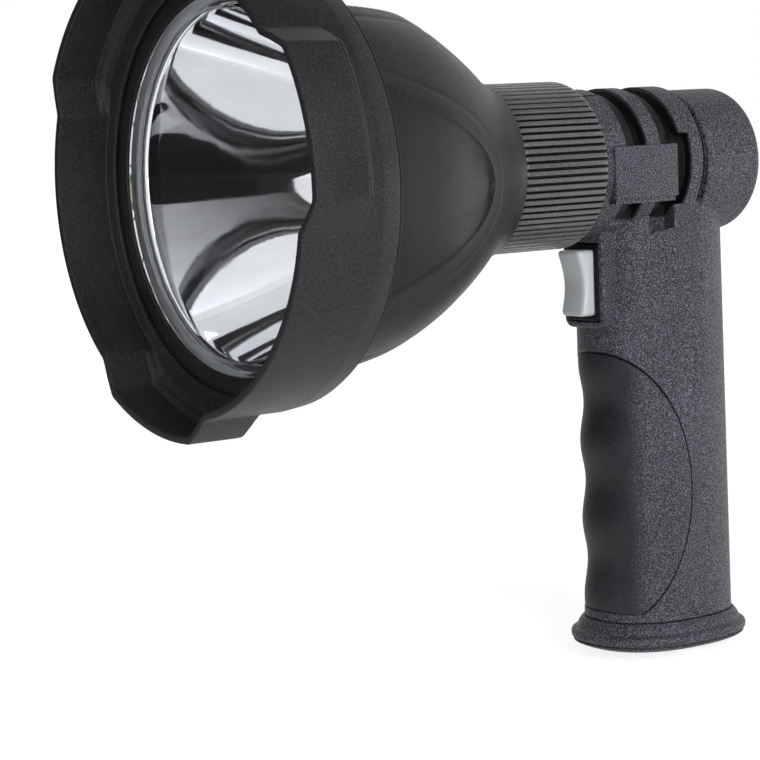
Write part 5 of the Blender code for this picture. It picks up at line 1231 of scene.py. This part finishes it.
def make_housing():
    """The handle and barrel: one outer form, hollowed and split into a left and a right shell."""
    low = BEAM_Z - PAD_LOW
    high = low + PAD_HEIGHT
    face = BARREL_RADIUS + PAD_RISE
    pad_start = BARREL_Y + PAD_STATION
    pad_end = pad_start + PAD_LENGTH
    collar_half = TRIGGER_HALF_WIDTH + 2 * GAP + FRAME_RIM + COLLAR_RIM
    collar_low = TRIGGER_Z - (TRIGGER_HALF_HEIGHT + 2 * GAP + FRAME_RIM + COLLAR_RIM)
    collar_top = BEAM_Z - BORE_RADIUS - SOFT_EDGE
    collar = rounded_face(collar_half, (collar_top - collar_low) / 2, COLLAR_CORNER, -COLLAR_FACE, 0,
                          COLLAR_ROUND, (collar_low + collar_top) / 2)
    housing = join(barrel_solid(), grip_solid("grip"), skin("collar", collar))

    pocket = bar("pocket", face + OVERRUN, pad_end - OVERRUN, pad_end + POCKET_LENGTH, low - POCKET_MARGIN,
                 high + POCKET_MARGIN)
    floor = disc_outline(BARREL_RADIUS - POCKET_DEPTH, BARREL_LENGTH)
    cut(pocket, lathe("keep", floor, BARREL_Y, LATHE_STEPS, 0))
    first = FRONT_BAND_LENGTH
    second = first + SLOT_LENGTH + RIB_BAND_LENGTH
    cut(housing, slot_cutter("slot_one", first), slot_cutter("slot_two", second), pocket)
    join(
        housing,
        bar("pads", face, pad_start, pad_end, low, high, SOFT_EDGE),
        bar("ledges", face - PAD_LEDGE_DROP, pad_start + PAD_LEDGE_INSET, pad_end - PAD_LEDGE_INSET,
            low - PAD_LEDGE_HEIGHT, low + OVERRUN),
    )
    core = grip_solid("insert_seat", INSERT_THICKNESS + FINGER_DEPTH + GAP, INSERT_THICKNESS + GAP)
    recess = cut(insert_disc("insert_recess", GAP), core, insert_floor("seat_floor", GAP))
    holes = []
    for name, seat, direction, length in screw_places():
        holes.append(screw_hole(f"hole_{name}", seat, direction, OVERRUN * 2, length + GAP, SCREW_RADIUS))
        if direction.x:
            holes.append(screw_hole(f"head_{name}", seat, direction, SCREW_HEAD_REACH, GAP,
                                    SCREW_HEAD_RADIUS))
    cut(housing, recess, housing_cavity(), *holes)

    reach = BEAM_Z * 2
    for side, near, far in (("left", 0, reach), ("right", -reach, 0)):
        half = bpy.data.objects.new(f"shell_{side}", housing.data.copy())
        pieces.objects.link(half)
        shape(half, "INTERSECT", block(f"side_{side}", (near, -reach, -reach), (far, reach, reach)))
        stand_for(half, "lamp", "housing_plastic", f"housing_{side}")
    bpy.data.objects.remove(housing, do_unlink=True)


def make_finger_grip():
    """The soft insert with the finger grooves, which wraps round the front of the grip."""
    first = FINGER_FIRST - FINGER_PITCH
    length = (FINGER_COUNT + 1) * FINGER_PITCH
    count = int(length / INSERT_ROW)
    rows = []
    for part in range(count + 1):
        height = first + length * part / count
        wave = (1 + math.cos(2 * math.pi * (height - FINGER_FIRST) / FINGER_PITCH)) / 2
        rows.append(grip_section(height, press=INSERT_STEP, wave=(FINGER_WAVE - INSERT_STEP) * wave))
    insert = skin("finger_insert", rows)
    shape(insert, "INTERSECT", insert_disc("insert_outline", -INSERT_GROOVE))
    core = grip_solid("insert_core", INSERT_THICKNESS + FINGER_DEPTH, INSERT_THICKNESS)
    cut(insert, core, insert_floor("insert_floor", GAP - INSERT_LOW_GAP))
    stand_for(insert, "lamp", "grip_rubber", "finger_grip")


def trigger_outline(inset):
    """The trigger's side outline as (y, z) points, made smaller by an inset."""
    high = TRIGGER_HALF_HEIGHT - inset
    corner = TRIGGER_ROUND
    points = []
    for part in range(TRIGGER_PARTS + 1):
        up = math.cos(math.pi * part / TRIGGER_PARTS)
        over = max(abs(high * up) - (high - corner), 0)
        face = TRIGGER_LOW.y + inset + TRIGGER_DISH * math.cos(math.pi / 2 * up) - TRIGGER_LEAN * (1 + up) / 2
        points.append((face + corner - math.sqrt(max(corner ** 2 - over ** 2, 0)), high * up))
    root = (TRIGGER_FLANGE_Y + TRIGGER_FLANGE_END) / 2
    return points + [(root, -high), (root, high)]


def make_trigger():
    """The pale dished trigger with its flange and post, and the dark frame round it."""
    across = [(TRIGGER_ROUND * (1 - cosine) - TRIGGER_HALF_WIDTH, TRIGGER_ROUND * (1 - sine))
              for cosine, sine in arc(math.pi / 2, TRIGGER_ROUND_PARTS)]
    across += [(-x, inset) for x, inset in reversed(across)]
    outlines = [[(x, y, TRIGGER_Z + z) for y, z in trigger_outline(inset)] for x, inset in across]
    trigger = skin("trigger_key", outlines)
    flange_high = TRIGGER_HALF_HEIGHT + TRIGGER_FLANGE
    flange = bar("trigger_flange", TRIGGER_HALF_WIDTH + TRIGGER_FLANGE, TRIGGER_FLANGE_Y, TRIGGER_FLANGE_END,
                 TRIGGER_Z - flange_high, TRIGGER_Z + flange_high)
    post = long_rod("trigger_post", TRIGGER_FLANGE_Y + GAP, TRIGGER_HIGH.y, TRIGGER_Z, TRIGGER_BOSS_RADIUS)
    stand_for(join(trigger, flange, post), "trigger", "trigger_plastic", "trigger")

    half, high = TRIGGER_HALF_WIDTH + GAP, TRIGGER_HALF_HEIGHT + GAP
    out_half, out_high = half + FRAME_RIM, high + FRAME_RIM
    flange_half, flange_high = out_half + FRAME_FLANGE, out_high + FRAME_FLANGE
    front = -FRAME_REAR - FRAME_FLANGE_LENGTH
    corner = FRAME_CORNER
    rows = [
        rectangle(flange_half, flange_high, corner, -FRAME_REAR),
        rectangle(flange_half, flange_high, corner, front),
        rectangle(out_half, out_high, corner, front),
    ]
    rows += rounded_face(out_half, out_high, corner, -FRAME_FACE, front, FRAME_RIM / 2, 0)[1:]
    rows += [rectangle(half, high, corner / 4, y) for y in (-FRAME_FACE, -FRAME_REAR)]
    # The housing has no room for the flange above the frame
    rows = [[(x, y, TRIGGER_Z + (min(z, out_high - GAP) if y > front - GAP else z)) for x, y, z in row]
            for row in rows]
    stand_for(skin("trigger_surround", rows, True), "lamp", "seal_rubber", "trigger_frame")


def make_spring():
    """The trigger's return spring, drawn at rest; on the real lamp it is pressed flat against the switch as
    the trigger goes in.
    """
    low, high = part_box("trigger_spring")
    centre = (low + high) / 2
    length = high.y - low.y
    coil = (high.x - low.x) / 2 - SPRING_WIRE_RADIUS
    count = SPRING_TURNS * SPRING_TURN_PARTS
    rise = (length - 2 * SPRING_WIRE_RADIUS) / count
    rows = []
    for part in range(count + 1):
        angle = 2 * math.pi * part / SPRING_TURN_PARTS
        out = Vector((math.cos(angle), 0, math.sin(angle)))
        middle = Vector((centre.x, low.y + SPRING_WIRE_RADIUS + rise * part, centre.z)) + out * coil
        rows.append([middle + (out * cosine + Vector((0, sine, 0))) * SPRING_WIRE_RADIUS
                     for cosine, sine in arc(2 * math.pi, SPRING_WIRE_PARTS)[:-1]])
    spring = stand_for(skin("return_spring", rows), "lamp", "steel", "trigger_spring")
    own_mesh(spring)


def make_base():
    """The flared base with its lip and groove, and the threaded tripod socket below it."""
    rows = []
    for row in range(BASE_ROWS + 1):
        along = row / BASE_ROWS
        out = BASE_FLARE * curve_at(BASE_SHARES, along)
        rows.append(section(GRIP_HALF_DEPTH + out, GRIP_HALF_DEPTH + GRIP_FLARE + out,
                            GRIP_HALF_WIDTH + GRIP_FLARE / 2 + out, BASE_HEIGHT * along))
    depth, width = CAVITY_HALF_DEPTH - GAP, CAVITY_HALF_WIDTH - GAP
    for height in (BASE_HEIGHT, BASE_HEIGHT + BASE_SPIGOT):
        rows.append(section(depth, depth, width, height, CELL_BACK))
    base = skin("base_foot", rows)
    top = NUT_BODY_LENGTH + GAP
    tools = [rod("nut_bore", (0, NUT_BACK, -OVERRUN), (0, NUT_BACK, top), NUT_BODY_RADIUS + GAP)]
    for name, seat, direction, length in screw_places():
        if direction.z:
            tools.append(screw_hole(f"clear_{name}", seat, direction, BASE_HOLE_REACH, length, SCREW_RADIUS))
            tools.append(screw_hole(f"recess_{name}", seat, direction, BASE_HOLE_REACH, GAP,
                                    SCREW_HEAD_RADIUS))
    stand_for(cut(base, *tools), "lamp", "housing_plastic", "base_plate")

    face = -NUT_DROP
    floor = face + THREAD_DEPTH
    thread = []
    for turn in range(int(THREAD_DEPTH / THREAD_PITCH) - 1):
        station = face + THREAD_PITCH * (turn + THREAD_START_SHARE)
        thread += [(station, THREAD_RADIUS), (station + THREAD_PITCH / 2, THREAD_RADIUS + THREAD_CUT)]
    outline = [
        (NUT_BODY_LENGTH, 0), (NUT_BODY_LENGTH, NUT_BODY_RADIUS), (-GAP, NUT_BODY_RADIUS), (-GAP, NUT_RADIUS),
        (face + NUT_CHAMFER, NUT_RADIUS), (face, NUT_RADIUS - NUT_CHAMFER), (face, THREAD_RADIUS),
    ] + thread + [(floor, THREAD_RADIUS), (floor, 0)]
    nut = aim(lathe("tripod_socket", outline, 0, DISC_STEPS, FINE_EDGE, 0), (0, NUT_BACK, 0), (0, 0, 1))
    stand_for(nut, "lamp", "brass", "tripod_insert", finish="anodised")


def make_screws():
    """Round-headed screws with hexagon sockets."""
    top = -SCREW_HEAD_LENGTH
    for name, seat, direction, length in screw_places():
        outline = [(top, 0), (top, SCREW_HEAD_RADIUS), (0, SCREW_HEAD_RADIUS), (0, SCREW_RADIUS),
                   (length, SCREW_RADIUS), (length, 0)]
        screw = lathe(f"{name}_head", outline, 0, SMALL_STEPS, FINE_EDGE * 2, 0)
        socket = long_rod("socket", top - GAP, top + SCREW_SOCKET_DEPTH, 0, SCREW_SOCKET_RADIUS, HEX_SIDES)
        stand_for(aim(cut(screw, socket), seat, direction), "lamp", "steel", name)


def make_tail():
    """The tail plate with its charging socket, indicator and hinged cover."""
    hinge_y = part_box("charge_cover")[0].y + KNUCKLE_RADIUS
    socket_z = BEAM_Z - SOCKET_DROP
    hinge_z = socket_z - COVER_ARM
    light_z = BEAM_Z + INDICATOR_RISE
    flap_y = hinge_y - KNUCKLE_RADIUS
    rear = flap_y - GAP
    outline = disc_outline(PLATE_RADIUS, PLATE_THICKNESS)
    plate = lathe("tail_disc", outline, rear - PLATE_THICKNESS, edge=FINE_EDGE)
    inner, outer = COVER_HALF_WIDTH + GAP, COVER_HALF_WIDTH + GAP + EAR_LENGTH
    ears = [block(f"ear_{name}", (near, rear - PLATE_THICKNESS / 2, hinge_z - KNUCKLE_RADIUS),
                  (far, hinge_y + KNUCKLE_RADIUS, hinge_z + KNUCKLE_RADIUS), FINE_EDGE)
            for name, near, far in (("left", inner, outer), ("right", -outer, -inner))]
    join(plate, *ears)
    span = COVER_HALF_WIDTH + EAR_LENGTH + OVERRUN
    start, end = rear - OVERRUN * 2, rear + OVERRUN
    cut(
        plate,
        cross_rod("pin_hole", span, hinge_y, hinge_z, HINGE_BORE),
        long_rod("socket_hole", start, end, socket_z, SOCKET_RADIUS + GAP),
        long_rod("light_hole", start, end, light_z, INDICATOR_RADIUS + GAP),
    )
    stand_for(plate, "lamp", "inner_plastic", "tail_plate")

    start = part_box("charge_socket")[0].y
    length = rear - start
    floor = length - SOCKET_BORE_DEPTH
    tip = floor + SOCKET_PIN_LENGTH
    outline = [(0, 0), (0, SOCKET_RADIUS), (length, SOCKET_RADIUS), (length, SOCKET_BORE),
               (floor, SOCKET_BORE), (floor, SOCKET_PIN_RADIUS), (tip, SOCKET_PIN_RADIUS), (tip, 0)]
    jack = lathe("charge_jack", outline, start, FINE_STEPS, FINE_EDGE, socket_z)
    stand_for(jack, "lamp", "contact_metal", "charge_socket")
    low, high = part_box("indicator_light")
    light = long_rod("charge_light", low.y, high.y, light_z, INDICATOR_RADIUS, SMALL_STEPS, FINE_EDGE * 2)
    stand_for(light, "lamp", "clear_lens", "indicator_light")

    outline = disc_outline(COVER_RADIUS, COVER_THICKNESS)
    flap = lathe("charge_flap", outline, flap_y, DISC_STEPS, SOFT_EDGE, socket_z)
    join(
        flap,
        bar("arm", COVER_HALF_WIDTH, flap_y, flap_y + COVER_THICKNESS, hinge_z, socket_z),
        cross_rod("knuckle", COVER_HALF_WIDTH, hinge_y, hinge_z, KNUCKLE_RADIUS),
    )
    cut(flap, cross_rod("hole", span, hinge_y, hinge_z, HINGE_BORE))
    stand_for(flap, "charge_cover", "seal_rubber", "charge_cover")


# Studio


def make_camera():
    """The camera at the photograph's place and angle."""
    azimuth, elevation = math.radians(CAMERA_AZIMUTH), math.radians(CAMERA_ELEVATION)
    roll = math.radians(CAMERA_ROLL)
    level = Vector((math.cos(azimuth), math.sin(azimuth), 0))
    back = Vector((math.cos(elevation) * math.sin(azimuth), -math.cos(elevation) * math.cos(azimuth),
                   math.sin(elevation)))
    upright = back.cross(level)
    right = level * math.cos(roll) + upright * math.sin(roll)
    up = upright * math.cos(roll) - level * math.sin(roll)
    data = bpy.data.cameras.new("camera")
    data.lens = CAMERA_LENS
    data.sensor_width = CAMERA_SENSOR
    data.clip_start = CAMERA_CLIP
    camera = bpy.data.objects.new("camera", data)
    place = Vector((0, RIM_Y, BEAM_Z))
    place += right * CAMERA_OFFSET.x + up * CAMERA_OFFSET.y + back * CAMERA_OFFSET.z
    camera.matrix_world = Matrix.Translation(place) @ Matrix((right, up, back)).transposed().to_4x4()
    bpy.context.scene.collection.objects.link(camera)
    bpy.context.scene.camera = camera


def sees_background(make):
    """1 for rays from the camera, in reflections and through glass."""
    path = make.node("LightPath").outputs
    seen = make.math("MAXIMUM", path["Is Camera Ray"], path["Is Glossy Ray"])
    return make.math("MAXIMUM", seen, path["Is Transmission Ray"])


def make_world():
    """A white surround: plain soft light on the object, and a white background behind it."""
    make = Nodes(bpy.data.worlds.new("surround"), "Background")
    strength = make.remap(sees_background(make), 0.0, 1.0, WORLD_LEVEL, 1.0)
    bpy.context.scene.world = make.drive(Color=(1, 1, 1), Strength=strength)


def add_card(name, half_x, half_y, material, z=0.0):
    """A flat sheet that is part of the stage."""
    mesh = bpy.data.meshes.new(name)
    corners = [(-half_x, -half_y, z), (half_x, -half_y, z), (half_x, half_y, z), (-half_x, half_y, z)]
    mesh.from_pydata(corners, [], [(0, 1, 2, 3)])
    mesh.materials.append(material)
    card = bpy.data.objects.new(name, mesh)
    bpy.context.scene.collection.objects.link(card)
    return card


def make_floor():
    """A wide white floor just below the part, which keeps its shadow."""
    make = start_material("studio_paper", Roughness=0.9, Specular_IOR_Level=0.1, Emission_Color=(1, 1, 1))
    paper = make.mix(make.noise(700.0, 3.0, 0.6), (0.78, 0.78, 0.78), (0.82, 0.82, 0.82))
    glow = make.remap(sees_background(make), 0.0, 1.0, 0.0, FLOOR_GLOW)
    material = make.drive(Base_Color=paper, Emission_Strength=glow)
    add_card("studio_floor", FLOOR_HALF, FLOOR_HALF, material, cad_box[0].z)


def face_centre(direction):
    """The placing of something that stands off in a direction and faces the studio's centre."""
    turn = (-Vector(direction)).to_track_quat("-Z", "Y").to_matrix().to_4x4()
    return Matrix.Translation(STUDIO_CENTRE + Vector(direction)) @ turn


def make_studio():
    """World, floor, soft box lamps, and dark cards that show only in reflections, as beside a studio lamp."""
    make_world()
    make_floor()
    for name, direction, size, power in LAMPS:
        data = bpy.data.lights.new(name, "AREA")
        data.shape = "RECTANGLE"
        data.size, data.size_y = size
        data.energy = power
        lamp = bpy.data.objects.new(name, data)
        lamp.matrix_world = face_centre(direction)
        bpy.context.scene.collection.objects.link(lamp)
    cloth = start_material("flag_cloth", Roughness=0.9, Base_Color=FLAG_COLOUR).owner
    for name, direction, size in FLAGS:
        flag = add_card(name, size[0] / 2, size[1] / 2, cloth)
        flag.matrix_world = face_centre(direction)
        flag.visible_camera = False
        flag.visible_shadow = False


def dress_model():
    """Gives each of the model's own nodes the finish of its slot."""
    for name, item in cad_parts.items():
        for index, old in enumerate(item.data.materials):
            slot = OWN_FINISHES.get(name, old.name.split(".")[0])
            item.data.materials[index] = FINISHES.get(slot, FINISHES["inner_plastic"])


bpy.context.scene.view_settings.view_transform = "Standard"
dress_model()
make_bezel()
make_lens()
make_reflector()
make_light()
make_bowl()
make_focus_ring()
make_housing()
make_finger_grip()
make_trigger()
make_spring()
make_base()
make_screws()
make_tail()
make_camera()
make_studio()
